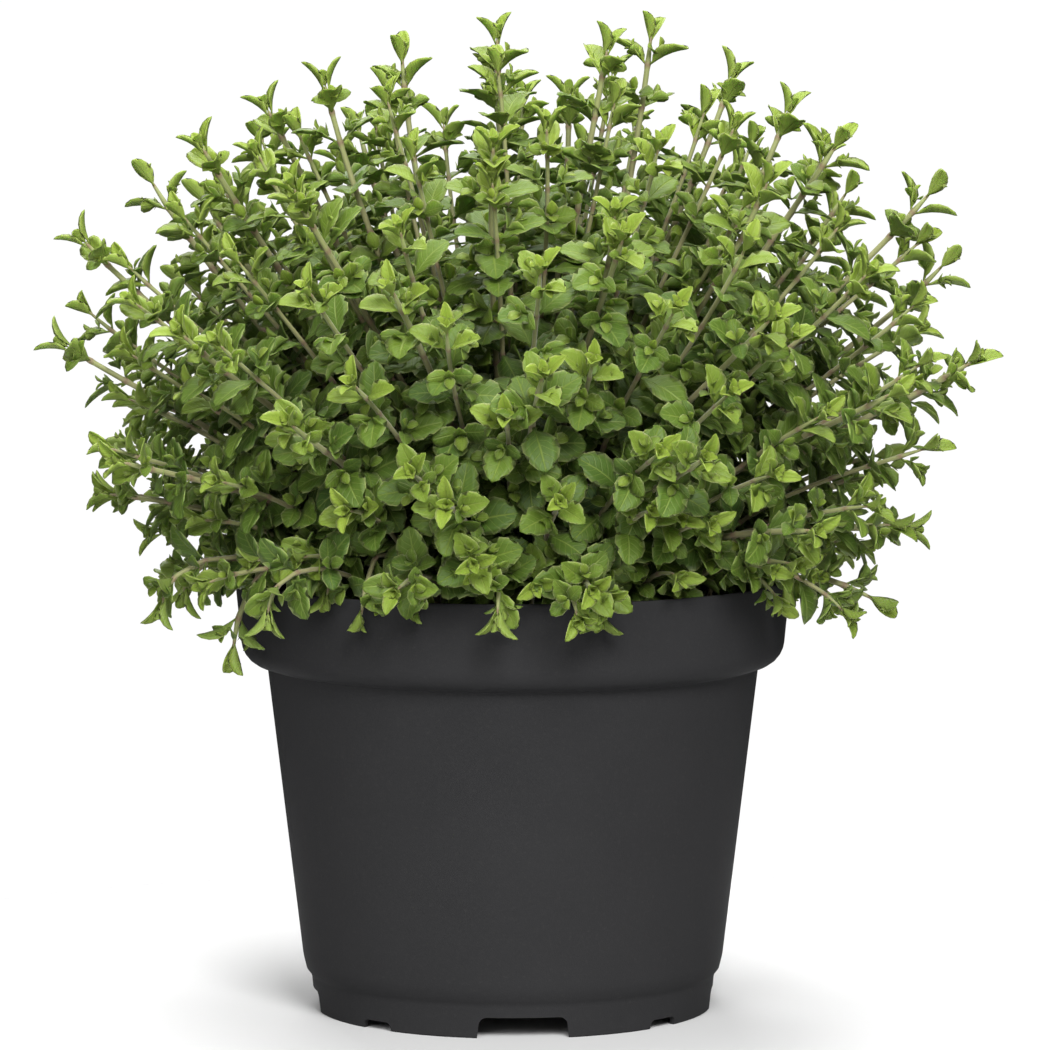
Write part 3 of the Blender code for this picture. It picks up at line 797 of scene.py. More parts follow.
def frames_along(points, across):
    found = []
    side = across.copy()
    length = 0.0
    before = points[0]
    for step in range(FRAME_STEPS + 1):
        t = step / FRAME_STEPS
        here = bezier(points, t)
        after = bezier(points, min(1.0, t + SLOPE_STEP))
        ahead = (after - bezier(points, max(0.0, t - SLOPE_STEP))).normalized()
        side = (side - ahead * side.dot(ahead)).normalized()
        length += (here - before).length
        before = here
        found.append((length, here, ahead, side.copy(), ahead.cross(side)))
    return found


def frame_at(frames, length):
    """The point at a length along the stem, and the directions ahead, to the side and to the other side."""
    length = max(0.0, min(frames[-1][0], length))
    for low, high in zip(frames, frames[1:]):
        if high[0] >= length:
            part = (length - low[0]) / max(1e-9, high[0] - low[0])
            return [low[i].lerp(high[i], part) for i in range(1, 5)]
    return list(frames[-1][1:])


def grown_stem(points, turn, foot):
    """A stem's frames, its length, the height of its foot in the soil, and room for its leaves."""
    frames = frames_along(points, Vector((math.cos(turn), math.sin(turn), 0.0)))
    return {"frames": frames, "length": frames[-1][0], "foot": foot, "leaves": []}


def half_width(stem, length):
    part = min(1.0, max(0.0, length / stem["length"]))
    return STEM_HALF_WIDTH + (TIP_HALF_WIDTH - STEM_HALF_WIDTH) * part


def ring(stem, length, extra=0.0):
    here, _, side, other = frame_at(stem["frames"], length)
    half = half_width(stem, length) + extra
    return [here + side * (half * a) + other * (half * b) for a, b in CORNERS]


print("stem width, in mm, from", STEM_HALF_WIDTH * 2000, "to", TIP_HALF_WIDTH * 2000)

# %% [markdown]
# ## The leaves of the solids
# A solid's leaf is a plain four-sided blade on the face of the stem that it grows from: two rings and a
# tip, folded along the midrib and bent down. It is worked out here only to find where each leaf has room.

# %% Plain leaves
LEAF_BANDS = ((0.34, 1.0, 0.05), (0.72, 0.66, 0.55), (1.0, 0.0, 1.0))
LEAF_BEND = 0.35
LEAF_CHANNEL = 0.28
LEAF_STALK = 0.0015
FACE_CORNERS = ((1, 2), (2, 3), (3, 0), (0, 1))


def leaf_stance(stem, node, face, swing):
    """Where a leaf leaves the stem, and the ways out from the stem, up along it and across the blade."""
    here, ahead, side, other = frame_at(stem["frames"], node)
    normal = (side, other, -side, -other)[face]
    beside = ahead.cross(normal).normalized()
    out = (normal * math.cos(swing) + beside * math.sin(swing)).normalized()
    return here + normal * half_width(stem, node), out, ahead, ahead.cross(out).normalized()


def leaf_sections(stem, node, face, blade, rise, swing, grow=0.0):
    length, half = blade
    start, out, ahead, beside = leaf_stance(stem, node, face, swing)
    sections = []
    for along, wide, bend in LEAF_BANDS:
        tilt = math.radians(rise) - bend * LEAF_BEND
        heading = out * math.cos(tilt) + ahead * math.sin(tilt)
        up = ahead * math.cos(tilt) - out * math.sin(tilt)
        centre = start + heading * (length * along + LEAF_STALK)
        if wide == 0.0:
            sections.append([centre + heading * grow])
            continue
        rib = BLADE_THICKNESS / 2 + grow
        edge = half * wide + grow
        channel = half * wide * LEAF_CHANNEL
        sections.append([
            centre - beside * edge + up * channel,
            centre - up * rib,
            centre + beside * edge + up * channel,
            centre + up * rib,
        ])
    return sections


def leaf_root(stem, node, face, grow=0.0):
    low = ring(stem, node - NODE_HEIGHT / 2 - grow, grow)
    high = ring(stem, node + NODE_HEIGHT / 2 + grow, grow)
    a, b = FACE_CORNERS[face]
    return [low[a], low[b], high[b], high[a]]


def leaf_shell(sections, root=None):
    rings = ([root] if root else []) + sections[:2]
    corners = [corner for part in rings for corner in part] + sections[2]
    faces = []
    for low in range(len(rings) - 1):
        for i in range(4):
            a, b = low * 4 + i, low * 4 + (i + 1) % 4
            faces.append((a, b, b + 4))
            faces.append((a, b + 4, a + 4))
    last = (len(rings) - 1) * 4
    tip = len(corners) - 1
    for i in range(4):
        faces.append((last + i, last + (i + 1) % 4, tip))
    return corners, faces


print("bands of a plain leaf", len(LEAF_BANDS))

# %% [markdown]
# ## Keeping leaves apart
# Real leaves push each other aside. Each leaf here is tried as it should be, then turned, lifted or
# lowered, and at last made smaller, until a slightly swollen ghost of it touches nothing. A ball round
# every body makes the first test quick.

# %% Room for a leaf
LEAF_SCALES = (1.0, 0.86, 0.74)
LEAF_TURNS = ((0, 0), (0.45, 8), (-0.45, 8), (0, 22), (0, -20), (0.8, 0), (-0.8, 0))
STEEPEST_LEAF = 72
ABOVE_RIM = 0.0012
BESIDE_RIM = 0.0015
LOWEST_BESIDE = 0.090
INSIDE_RIM = 0.0795
ABOVE_SOIL = 0.0015


def clear_of_pot(corners):
    reach = [(math.hypot(c.x, c.y), c.z) for c in corners]
    if all(z > POT_HEIGHT + ABOVE_RIM for _, z in reach):
        return True
    if all(r > RIM_RADIUS + BESIDE_RIM for r, _ in reach) and all(z > LOWEST_BESIDE for _, z in reach):
        return True
    return all(r < INSIDE_RIM and z > SOIL_CROWN_HEIGHT + ABOVE_SOIL for r, z in reach)


class Neighbours:
    """Bodies already placed, each with a ball round it for a quick first test."""

    def __init__(self):
        self.bodies = []

    def add(self, corners, faces, owner, kind):
        centre = sum(corners, Vector()) / len(corners)
        radius = max((corner - centre).length for corner in corners)
        self.bodies.append((centre, radius, BVHTree.FromPolygons(corners, faces), owner, kind))

    def hit(self, corners, faces, skip):
        centre = sum(corners, Vector()) / len(corners)
        radius = max((corner - centre).length for corner in corners)
        tree = BVHTree.FromPolygons(corners, faces)
        for other_centre, other_radius, other, owner, kind in self.bodies:
            if (owner, kind) == skip:
                continue
            if (other_centre - centre).length < radius + other_radius and tree.overlap(other):
                return True
        return False


def fit_leaf(placed, stem, index, node, face, blade, tilt, yaw):
    for scale in LEAF_SCALES:
        for turn, lift in LEAF_TURNS:
            size = (blade[0] * scale, blade[1] * scale)
            rise = min(STEEPEST_LEAF, tilt + lift)
            ghost = leaf_sections(stem, node, face, size, rise, yaw + turn, LEAF_GAP)
            corners, faces = leaf_shell(ghost, leaf_root(stem, node, face, LEAF_GAP))
            if not clear_of_pot(corners) or placed.hit(corners, faces, (index, "stem")):
                continue
            if placed.hit(*leaf_shell(ghost), None):
                continue
            sections = leaf_sections(stem, node, face, size, rise, yaw + turn)
            placed.add(*leaf_shell(sections, leaf_root(stem, node, face)), index, "leaf")
            return {"node": node, "face": face, "size": size, "rise": rise, "swing": yaw + turn}
    return None


print("ways to try a leaf", len(LEAF_SCALES) * len(LEAF_TURNS))

# %% [markdown]
# ## The plan of the plant
# First all the stems, then the leaves: the top pair of every stem, then every second pair, and so on down,
# so that no stem takes all the room. Pairs stand crosswise, each a quarter turn from the one above.

# %% Stems and leaves
STEM_PARTS = 24
LOWEST_NODE = 0.012


def plan_stems(placed, draw):
    found = []
    for index, tip in enumerate(stem_tips(draw)):
        points = stem_route(index, tip, draw)
        turn = draw.uniform(0, math.pi / 2)
        stem = grown_stem(points, turn, soil_top(points[0].x, points[0].y) - STEM_DEPTH)
        lengths = [stem["length"] * k / STEM_PARTS for k in range(STEM_PARTS + 1)]
        sides = [(i, (i + 1) % 4, (i + 1) % 4 + 4, i + 4) for i in range(4)]
        for low, high in zip(lengths, lengths[1:]):
            placed.add(ring(stem, low) + ring(stem, high), sides, index, "stem")
        found.append(stem)
    return found


def plan_leaves(found, placed, draw):
    for rank, (_, length, half, rise) in enumerate(LEAF_PAIRS):
        below = sum(pair[0] for pair in LEAF_PAIRS[:rank + 1])
        for index, stem in enumerate(found):
            node = stem["length"] - below * (1 + 0.12 * math.sin(index * 2.3 + rank))
            if node < LOWEST_NODE or (index < INNER_STEMS and rank >= INNER_PAIRS):
                continue
            for face in (rank % 2, rank % 2 + 2):
                vigour = draw.uniform(0.90, 1.08)
                tilt = rise + draw.uniform(-9, 9)
                yaw = draw.uniform(-0.25, 0.25)
                blade = (length * vigour, half * vigour)
                leaf = fit_leaf(placed, stem, index, node, face, blade, tilt, yaw)
                if leaf:
                    stem["leaves"].append({**leaf, "rank": rank})


def plan_plant(draw):
    placed = Neighbours()
    found = plan_stems(placed, draw)
    plan_leaves(found, placed, draw)
    return found


stems = plan_plant(random.Random(SEED))
print("stems", len(stems), "leaves", sum(len(stem["leaves"]) for stem in stems))

# %% [markdown]
# ## One leaf
# A blade is a closed thin shell: a grid above and a grid below that share the margin. It is ovate, folded a
# little along the midrib, swollen between the veins, and its tip bends back. The unit leaf is one unit long
# and its widest half is one unit wide, so that a scale gives it any length and width. Each point knows
# where it lies on the blade. Because a leaf is repeated thousands of times, it has 60 faces, and a small
# one 22.

# %% Leaf shape
WIDTH_AT = (
    (0.0, 0.08), (0.12, 0.14), (0.24, 0.58), (0.42, 0.96), (0.62, 1.0), (0.80, 0.80), (0.94, 0.42),
    (1.0, 0.0),
)
BEND_AT = ((0.0, 0.0), (0.34, 0.05), (0.72, 0.55), (1.0, 1.0))
BEND = 0.09
SWELLINGS = 3


def read_curve(curve, t):
    for (t0, v0), (t1, v1) in zip(curve, curve[1:]):
        if t <= t1:
            return v0 + (v1 - v0) * (t - t0) / (t1 - t0)
    return curve[-1][1]


def blade_point(row, u, depth, fold, swell, blunt):
    """A point `row` of the way along the blade and `u` of the way across, `depth` above its middle."""
    bend = read_curve(BEND_AT, row) * BEND
    wide = read_curve(WIDTH_AT, row)
    wide = wide + blunt * math.sin(math.pi * min(1.0, max(0.0, (row - 0.5) * 2))) * 0.25
    lift = abs(u) * wide * fold + swell * (1 - u * u) * math.sin(math.pi * row)
    lift += swell * 0.5 * math.sin(abs(u) * math.pi) * math.sin(row * math.tau * SWELLINGS)
    high = lift + depth
    ahead = row * math.cos(bend) + high * math.sin(bend)
    return u * wide, ahead, -row * math.sin(bend) + high * math.cos(bend)


print("widest at", max(WIDTH_AT, key=lambda stop: stop[1])[0])

# %% [markdown]
# ## Skinning a leaf
# The two sides are made from the same points, and the faces of the lower side are turned over so that all
# of them point outwards.

# %% Leaf meshes
BLADE_ROWS = (0.0, 0.12, 0.24, 0.42, 0.62, 0.80, 0.94, 1.0)
SMALL_ROWS = (0.0, 0.16, 0.36, 0.66, 0.90, 1.0)
LEAF_KINDS = (
    ("leaf young", BLADE_ROWS, 4, (0.20, 0.040, 0.0), 0.030),
    ("leaf grown", BLADE_ROWS, 4, (0.13, 0.050, 0.1), 0.026),
    ("leaf old", BLADE_ROWS, 4, (0.06, 0.060, 0.4), 0.024),
    ("leaf small", SMALL_ROWS, 2, (0.20, 0.03, 0.2), 0.040),
    ("leaf shaded", SMALL_ROWS, 2, (0.12, 0.05, 0.3), 0.030),
)
YOUNG, GROWN, OLD, SMALL, SHADED = range(len(LEAF_KINDS))


def blade_side(bm, marks, rows, columns, shape, depth, upper=None):
    """One side of the blade. The lower side takes its margin from the upper one."""
    along, across, under = marks
    grid = []
    for number, row in enumerate(rows[:-1]):
        line = []
        for step in range(columns + 1):
            margin = step in (0, columns)
            if margin and upper:
                line.append(upper[number][step])
                continue
            u = step / columns * 2 - 1
            vert = bm.verts.new(blade_point(row, u, 0.0 if margin else depth, *shape))
            vert[along] = row
            vert[across] = u
            vert[under] = 1.0 if upper else 0.0
            line.append(vert)
        grid.append(line)
    return grid


def skin_side(bm, grid, tip, columns, order):
    for low, high in zip(grid, grid[1:]):
        for step in range(columns):
            bm.faces.new([low[step], low[step + 1], high[step + 1], high[step]][::order])
    for step in range(columns):
        bm.faces.new([grid[-1][step], grid[-1][step + 1], tip][::order])


def unit_leaf(name, rows, columns, shape, thick):
    """A leaf of one unit, with bands between its rows and `columns` strips across."""
    bm = bmesh.new()
    marks = [bm.verts.layers.float.new(mark) for mark in ("along", "across", "under")]
    upper = blade_side(bm, marks, rows, columns, shape, thick / 2)
    lower = blade_side(bm, marks, rows, columns, shape, -thick / 2, upper)
    tip = bm.verts.new((0.0, math.cos(BEND), -math.sin(BEND)))
    tip[marks[0]] = 1.0
    skin_side(bm, upper, tip, columns, 1)
    skin_side(bm, lower, tip, columns, -1)
    top, bottom = upper[0], lower[0]
    for step in range(columns):
        loop = [top[step], bottom[step], bottom[step + 1], top[step + 1]]
        bm.faces.new(list(dict.fromkeys(loop)))
    mesh = bpy.data.meshes.new(name)
    bm.to_mesh(mesh)
    bm.free()
    mesh.shade_smooth()
    return mesh


leaf_meshes = [unit_leaf(*kind) for kind in LEAF_KINDS]
print("faces in a leaf", [len(mesh.polygons) for mesh in leaf_meshes])

# %% [markdown]
# ## Repeats by Geometry Nodes
# A cloud of points, each with its own turn, size, kind, age and chance value, becomes leaves: the tree puts
# the leaf of that kind on each point, makes them real and gives them the leaf material. The kinds are the
# children of one collection, in the order of their names.

# %% Leaves on points


def kinds_collection(meshes):
    made = bpy.data.collections.new("leaf kinds")
    for index, mesh in enumerate(meshes):
        made.objects.link(bpy.data.objects.new(f"kind {index}", mesh))
    return made


def leaf_tree():
    tree = bpy.data.node_groups.new("leaves on points", 'GeometryNodeTree')
    for name, kind in (("Points", "Geometry"), ("Kinds", "Collection"), ("Leaf surface", "Material")):
        tree.interface.new_socket(name, in_out='INPUT', socket_type="NodeSocket" + kind)
    tree.interface.new_socket("Leaves", in_out='OUTPUT', socket_type='NodeSocketGeometry')
    add = partial(add_node, tree)
    given = add("NodeGroupInput")
    kinds = add("GeometryNodeCollectionInfo", {
        "Collection": given.outputs["Kinds"], "Separate Children": True, "Reset Children": True,
    })
    kind, turn, size = [
        add("GeometryNodeInputNamedAttribute", {"Name": name}, data_type=data_type)
        for name, data_type in (("kind", 'INT'), ("turn", 'QUATERNION'), ("size", 'FLOAT_VECTOR'))
    ]
    put = add("GeometryNodeInstanceOnPoints", {
        "Points": given.outputs["Points"], "Instance": kinds.outputs["Instances"], "Pick Instance": True,
        "Instance Index": kind, "Rotation": turn, "Scale": size,
    })
    real = add("GeometryNodeRealizeInstances", {"Geometry": put})
    look = add("GeometryNodeSetMaterial", {"Geometry": real, "Material": given.outputs["Leaf surface"]})
    add("NodeGroupOutput", {"Leaves": look})
    return tree


LEAF_TREE = leaf_tree()
LEAF_SHELF = kinds_collection(leaf_meshes)
print("inputs", [item.name for item in LEAF_TREE.interface.items_tree if item.in_out == 'INPUT'])

# %% [markdown]
# ## A spray of leaves
# The leaves of a piece are gathered as rows of numbers first, and then all made at once.

# %% Sprays


class Spray:
    """Leaves waiting to be made: a point, a turn, a size, a kind, an age with painted shade, and a chance
    value each.
    """

    MARKS = (
        ("turn", 'QUATERNION', "value", 1), ("size", 'FLOAT_VECTOR', "vector", 2),
        ("kind", 'INT', "value", 3), ("tone", 'FLOAT', "value", 4), ("chance", 'FLOAT', "value", 5),
    )

    def __init__(self):
        self.rows = []

    def add(self, place, heading, normal, length, half, kind, tone, chance):
        beside = heading.cross(normal).normalized()
        normal = beside.cross(heading).normalized()
        turn = Matrix((beside, heading, normal)).transposed().to_quaternion()
        self.rows.append((place.copy(), turn, (half, length, length), (kind,), (tone,), (chance,)))

    def mesh(self, name):
        cloud = bpy.data.meshes.new(name + " points")
        cloud.from_pydata([row[0] for row in self.rows], [], [])
        for mark, data_type, field, column in self.MARKS:
            layer = cloud.attributes.new(mark, data_type, 'POINT')
            layer.data.foreach_set(field, [v for row in self.rows for v in row[column]])
        holder = bpy.data.objects.new(name + " points", cloud)
        bpy.context.scene.collection.objects.link(holder)
        grow = holder.modifiers.new("grow", 'NODES')
        grow.node_group = LEAF_TREE
        inputs = [item for item in LEAF_TREE.interface.items_tree if item.in_out == 'INPUT']
        sockets = {item.name: item.identifier for item in inputs}
        grow[sockets["Kinds"]] = LEAF_SHELF
        grow[sockets["Leaf surface"]] = LEAF
        return finished_mesh(holder, name)


print("marks on a point", [mark[0] for mark in Spray.MARKS])

# %% [markdown]
# ## Stem tubes
# A stem is a square tube with rounded corners, a little swollen at its nodes and drawn in at its tip. A
# main stem has eight points round and a thin one five, which is enough for a tube of two millimetres.

# %% Tubes
TUBE_STEP = 0.0085
SWELL_REACH = 0.0016
SWELL = 0.22
TIP_TAPER = 0.005
TIP_SHARE = 0.35
TUBE_FULLNESS = 1.04


def tube_rows(stem, nodes, thin):
    whole = stem["length"]
    count = max(2, int(whole / TUBE_STEP))
    stops = {round(whole * k / count, 5) for k in range(count + 1)} | {round(whole, 5)}
    for node in nodes:
        stops |= {round(min(whole, max(0.0, node + d)), 5) for d in (-SWELL_REACH, 0.0, SWELL_REACH)}
    rows = []
    for stop in sorted(stops):
        near = min((abs(stop - node) for node in nodes), default=1.0)
        swell = max(0.0, 1 - near / SWELL_REACH)
        slim = min(1.0, TIP_SHARE + 0.65 * (whole - stop) / TIP_TAPER)
        rows.append((stop, half_width(stem, stop) * thin * slim * (1 + SWELL * swell), swell))
    return rows


def add_tube(bm, marks, stem, rows, sides):
    tone, blush = marks
    loops = []
    for stop, half, swell in rows:
        here, _, side, other = frame_at(stem["frames"], stop)
        reach = half * TUBE_FULLNESS
        loop = []
        for k in range(sides):
            angle = math.tau * (k + 0.5) / sides
            spot = here + side * (reach * math.cos(angle)) + other * (reach * math.sin(angle))
            loop.append(bm.verts.new(spot))
            loop[-1][tone] = stop / stem["length"]
            loop[-1][blush] = swell
        loops.append(loop)
    loops.insert(0, [bm.verts.new((v.co.x, v.co.y, stem["foot"])) for v in loops[0]])
    for low, high in zip(loops, loops[1:]):
        for k in range(sides):
            after = (k + 1) % sides
            bm.faces.new((low[k], low[after], high[after], high[k])).smooth = True
    bm.faces.new(loops[0][::-1])
    bm.faces.new(loops[-1])


print("rows of the first stem", len(tube_rows(stems[0], [], 1.0)))

# %% [markdown]
# ## Placing leaves
# A leaf is given by the node and the face of the stem that it grows from, how steeply it rises and how far
# it swings aside. In nearly every leaf axil sits a side shoot: two crossed pairs of small leaves on a short
# stalk.

# %% A leaf and a side shoot
TONES = (1.0, 0.86, 0.64, 0.50, 0.40, 0.32, 0.24, 0.18, 0.14, 0.10)
LEAF_SINK = 0.0004
SHOOT_PAIRS = 2
SHOOT_NARROWNESS = 0.34


def tone_for(rank, shade):
    return max(0.0, min(1.0, TONES[min(rank, len(TONES) - 1)] + shade))


def leaf_kind(rank):
    return YOUNG if rank < 2 else (GROWN if rank < 4 else OLD)


def put_leaf(spray, stem, leaf, kind, tone, chance):
    start, out, ahead, _ = leaf_stance(stem, leaf["node"], leaf["face"], leaf["swing"])
    tilt = math.radians(leaf["rise"])
    heading = out * math.cos(tilt) + ahead * math.sin(tilt)
    normal = ahead * math.cos(tilt) - out * math.sin(tilt)
    length, half = leaf["size"]
    spray.add(start - heading * LEAF_SINK, heading, normal, length + LEAF_STALK, half, kind, tone, chance)


def put_shoot(spray, stem, node, face, reach, draw, tone):
    start, out, ahead, cross = leaf_stance(stem, node + 0.0012, face, draw.uniform(-0.4, 0.4))
    tilt = math.radians(draw.uniform(28, 58))
    axis = out * math.cos(tilt) + ahead * math.sin(tilt)
    other = axis.cross(cross).normalized()
    for pair in range(SHOOT_PAIRS):
        centre = start + axis * (reach * (0.35 + 0.35 * pair))
        length = reach * (0.95 - 0.35 * pair)
        lift = math.radians(30 + 28 * pair)
        for direction in ((other, -other) if pair else (cross, -cross)):
            heading = direction * math.cos(lift) + axis * math.sin(lift)
            normal = axis * math.cos(lift) - direction * math.sin(lift)
            age = min(1.0, tone + 0.18 * pair + draw.uniform(-0.08, 0.08))
            spray.add(centre, heading, normal, length, length * SHOOT_NARROWNESS, SMALL, age, draw.random())


print("leaves in a side shoot", 2 * SHOOT_PAIRS)

# %% [markdown]
# ## Dressing a stem
# A stem's own leaves are the pairs that its solid has. Below them more pairs go on down to the soil, older,
# rounder and darker. The side shoots follow, and the tip carries a tight bud of four small leaves.

# %% Leaves of one stem
LOWER_GAP = 0.0125
LOWEST_PAIR = 0.004
LONGEST_SHOOT = 0.0105
BUD_LEAVES = ((76, 0.0045), (68, 0.0062))
BUD_NARROWNESS = 0.27


def allowed(place):
    """Whether a point is clear of the pot: above its rim, outside it, or between it and the soil."""
    radius = math.hypot(place.x, place.y)
    if place.z > POT_HEIGHT + 0.002:
        return True
    if radius > RIM_RADIUS + 0.003 and place.z > 0.098:
        return True
    return radius < 0.074 and place.z > SOIL_CROWN_HEIGHT + 0.004


def has_room(start, out, length):
    return allowed(start + out * length) and allowed(start + out * length * 0.4)


def lower_leaves(stem, spray, draw, ranks, pairs, shade, kind):
    """More pairs below a stem's own ones, noted in `ranks` by their nodes."""
    node = min(ranks, default=stem["length"])
    rank = ranks.get(node, 0)
    for _ in range(pairs):
        rank += 1
        node -= LOWER_GAP + draw.uniform(-0.002, 0.003)
        if node < LOWEST_PAIR:
            break
        ranks[node] = rank
        for face in (rank % 2, rank % 2 + 2):
            length = draw.uniform(0.0105, 0.0140)
            start, out, _, _ = leaf_stance(stem, node, face, 0.0)
            if not has_room(start, out, length):
                continue
            leaf = {"node": node, "face": face, "size": (length, length * draw.uniform(0.36, 0.43)),
                    "rise": draw.uniform(-14, 16), "swing": draw.uniform(-0.5, 0.5)}
            tone = tone_for(rank, shade + draw.uniform(-0.06, 0.08))
            put_leaf(spray, stem, leaf, kind, tone, draw.random())


def axil_shoots(stem, spray, draw, ranks, share, shade):
    for node, rank in ranks.items():
        for face in (rank % 2, rank % 2 + 2):
            if rank < 1 or draw.random() > share:
                continue
            reach = min(LONGEST_SHOOT, 0.0048 + 0.0011 * rank + draw.uniform(-0.0008, 0.0016))
            start, out, ahead, _ = leaf_stance(stem, node, face, 0.0)
            if allowed(start + (out + ahead) * reach * 0.8):
                put_shoot(spray, stem, node, face, reach, draw, 0.55 + shade + 0.2 / rank)


def tip_bud(stem, spray, draw, shade):
    here, ahead, side, other = frame_at(stem["frames"], stem["length"])
    for face, direction in enumerate((side, other, -side, -other)):
        lift, length = BUD_LEAVES[face % 2]
        lift = math.radians(lift)
        heading = direction * math.cos(lift) + ahead * math.sin(lift)
        normal = ahead * math.cos(lift) - direction * math.sin(lift)
        half = length * BUD_NARROWNESS
        start = here - ahead * LEAF_SINK
        spray.add(start, heading, normal, length, half, YOUNG, min(1.0, 1.0 + shade), draw.random())


def dress(stem, spray, draw, lower_pairs, shoot_share, shade, lower_kind):
    """All the leaves of one stem. Gives the heights of its nodes."""
    for leaf in stem["leaves"]:
        tone = tone_for(leaf["rank"], shade + draw.uniform(-0.07, 0.07))
        put_leaf(spray, stem, leaf, leaf_kind(leaf["rank"]), tone, draw.random())
    own = {leaf["node"]: leaf["rank"] for leaf in stem["leaves"]}
    ranks = dict(sorted(own.items(), reverse=True))
    lower_leaves(stem, spray, draw, ranks, lower_pairs, shade, lower_kind)
    axil_shoots(stem, spray, draw, ranks, shoot_share, shade)
    tip_bud(stem, spray, draw, shade)
    return list(ranks)


trial = Spray()
dress(stems[-1], trial, random.Random(SEED), 8, 0.95, 0.0, OLD)
print("leaves on the last stem", len(trial.rows))

# %% [markdown]
# ## The main stems
# Each one takes the place of its solid. Tubes and leaves are one mesh with two materials. The leaves of
# stems whose tips are low on the plant get painted shade: their tone is made darker, as if less light
# reached them.

# %% Main stems
MAIN_SIDES = 8
MAIN_LOWER_PAIRS = 8
MAIN_SHOOT_SHARE = 0.95


# Painted shade: the leaves of a stem whose tip is low are given a darker tone, as if less light reached
# them.
def shade_of(stem):
    tip = stem["frames"][-1][1]
    return -0.12 + 0.20 * min(1.0, max(0.0, (tip.z - 0.14) / 0.13))


def stem_piece(name, group, draw, lower_pairs, shoot_share, lower_kind, sides, thin):
    """Tubes and leaves of one or more stems as one mesh."""
    spray = Spray()
    tubes = bmesh.new()
    marks = [tubes.verts.layers.float.new(mark) for mark in ("tone", "blush")]
    for stem in group:
        nodes = dress(stem, spray, draw, lower_pairs, shoot_share, shade_of(stem), lower_kind)
        add_tube(tubes, marks, stem, tube_rows(stem, nodes, thin), sides)
    tube_mesh = bpy.data.meshes.new(name + " tubes")
    tubes.to_mesh(tube_mesh)
    tubes.free()
    leaves = spray.mesh(name)
    whole = piece(name, leaves, (LEAF, STEM))
    leaf_faces = len(leaves.polygons)
    joined = bmesh.new()
    joined.from_mesh(leaves)
    joined.from_mesh(tube_mesh)
    joined.faces.ensure_lookup_table()
    for face in joined.faces[leaf_faces:]:
        face.material_index = 1
    joined.to_mesh(leaves)
    joined.free()
    bpy.data.meshes.remove(tube_mesh)
    return whole


draw = random.Random(SEED + 1)
for number, stem in enumerate(stems, 1):
    whole = stem_piece(f"oregano_stem_{number:02d}", [stem], draw, MAIN_LOWER_PAIRS, MAIN_SHOOT_SHARE, OLD,
                       MAIN_SIDES, 1.0)
    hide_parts(f"leafy_stem_{number:02d}")
print("main stems dressed", len(stems))

# %% [markdown]
# ## Thinner stems between
# The plant has far more stems than its solids do. These stand between the main ones, end a little inside
# the dome, and are thinner. The last ones end low, in two rings beyond the rim, where the foliage hides it.

# %% Tips of the thin stems
FILLERS = 124
FILLER_ANGLE = 2.1
FILLER_ROOT_RADIUS = 0.066
RIM_ROOT_RADIUS = 0.064
RIM_SPRAYS = (
    (30, 0.088, 0.104, 0.124, 0.150),
    (26, 0.104, 0.122, 0.122, 0.168),
)


def filler_tips(draw):
    """A tip for each thin stem, with the radius and the angle of its root."""
    found = []
    for index in range(FILLERS):
        share = (index + 0.5) / FILLERS
        angle = index * GOLDEN_ANGLE + FILLER_ANGLE
        tip = dome_point(share, angle, draw.uniform(0.86, 1.0))
        found.append((tip, FILLER_ROOT_RADIUS * math.sqrt(share), angle))
    for count, near, far, low, high in RIM_SPRAYS:
        for index in range(count):
            angle = math.tau * (index + draw.uniform(-0.3, 0.3)) / count
            reach = draw.uniform(near, far)
            tip = Vector((reach * math.cos(angle), reach * math.sin(angle), draw.uniform(low, high)))
            found.append((tip, RIM_ROOT_RADIUS, angle))
    return found


print("thin stems planned", FILLERS + sum(spread[0] for spread in RIM_SPRAYS))

# %% [markdown]
# ## Dressing the thin stems
# They have fewer side shoots, and the leaves low down, which are hardly seen, are of the plainest kind.
# They are gathered in eight pieces.

# %% Thin stems
FILLER_GROUPS = 8
FILLER_ROOT_LIFT = 0.003
FILLER_DEPTH = 0.008
FILLER_LOWEST_NODE = 0.01
FILLER_SIDES = 5
FILLER_LOWER_PAIRS = 6
FILLER_SHOOT_SHARE = 0.7
FILLER_THINNESS = 0.8


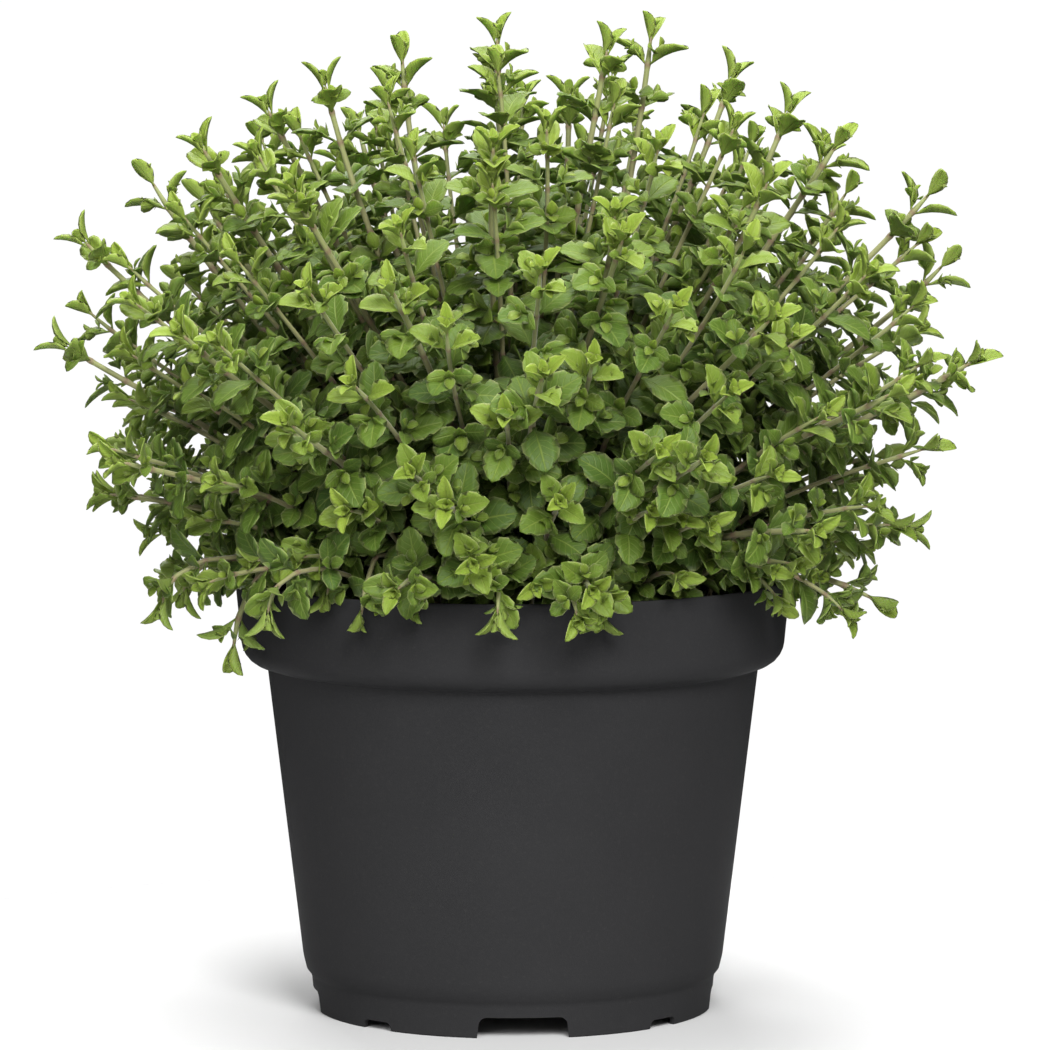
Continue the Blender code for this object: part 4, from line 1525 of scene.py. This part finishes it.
def filler_leaves(stem, draw):
    below = 0.0
    for rank, (gap, length, half, rise) in enumerate(LEAF_PAIRS):
        below += gap * draw.uniform(0.85, 1.1)
        node = stem["length"] - below
        if node < FILLER_LOWEST_NODE:
            break
        for face in (rank % 2, rank % 2 + 2):
            swing = draw.uniform(-0.3, 0.3)
            size = draw.uniform(0.82, 1.0)
            start, out, _, _ = leaf_stance(stem, node, face, swing)
            if has_room(start, out, length):
                stem["leaves"].append({"node": node, "face": face, "size": (length * size, half * size),
                                       "rise": rise + draw.uniform(-12, 12), "swing": swing, "rank": rank})


def filler_stems(draw):
    made = []
    for tip, radius, angle in filler_tips(draw):
        root = root_spot(radius, angle, FILLER_ROOT_LIFT)
        points = route_between(root, tip, draw)
        stem = grown_stem(points, draw.uniform(0, math.pi / 2), root.z - FILLER_DEPTH)
        filler_leaves(stem, draw)
        made.append(stem)
    return made


fillers = filler_stems(draw)
for group in range(FILLER_GROUPS):
    stem_piece(f"thin_stems_{group + 1}", fillers[group::FILLER_GROUPS], draw, FILLER_LOWER_PAIRS,
               FILLER_SHOOT_SHARE, SHADED, FILLER_SIDES, FILLER_THINNESS)
print("thin stems", len(fillers))

# %% [markdown]
# ## Floor and finish
# The floor is a small white round table top under the pot, painted and matt. It is kept small so that its
# glare leaves the sides of the black pot dark.

# %% Floor and finish
FLOOR_RADIUS = 0.27


def make_floor():
    bm = bmesh.new()
    bmesh.ops.create_circle(bm, cap_ends=True, segments=128, radius=FLOOR_RADIUS)
    mesh = bpy.data.meshes.new("floor")
    bm.to_mesh(mesh)
    bm.free()
    floor = bpy.data.objects.new("floor", mesh)
    bpy.context.scene.collection.objects.link(floor)
    material, tree, shader, _ = new_material("matt white table top")
    feed(tree, shader, {"Base Color": linear("#dedede"), "Roughness": 0.9})
    mesh.materials.append(material)
    floor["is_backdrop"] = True


make_floor()
faces = {}
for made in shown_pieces():
    faces[made.name] = sum(len(p.vertices) - 2 for p in made.data.polygons)
print("triangles", sum(faces.values()), "most", max(faces.values()))
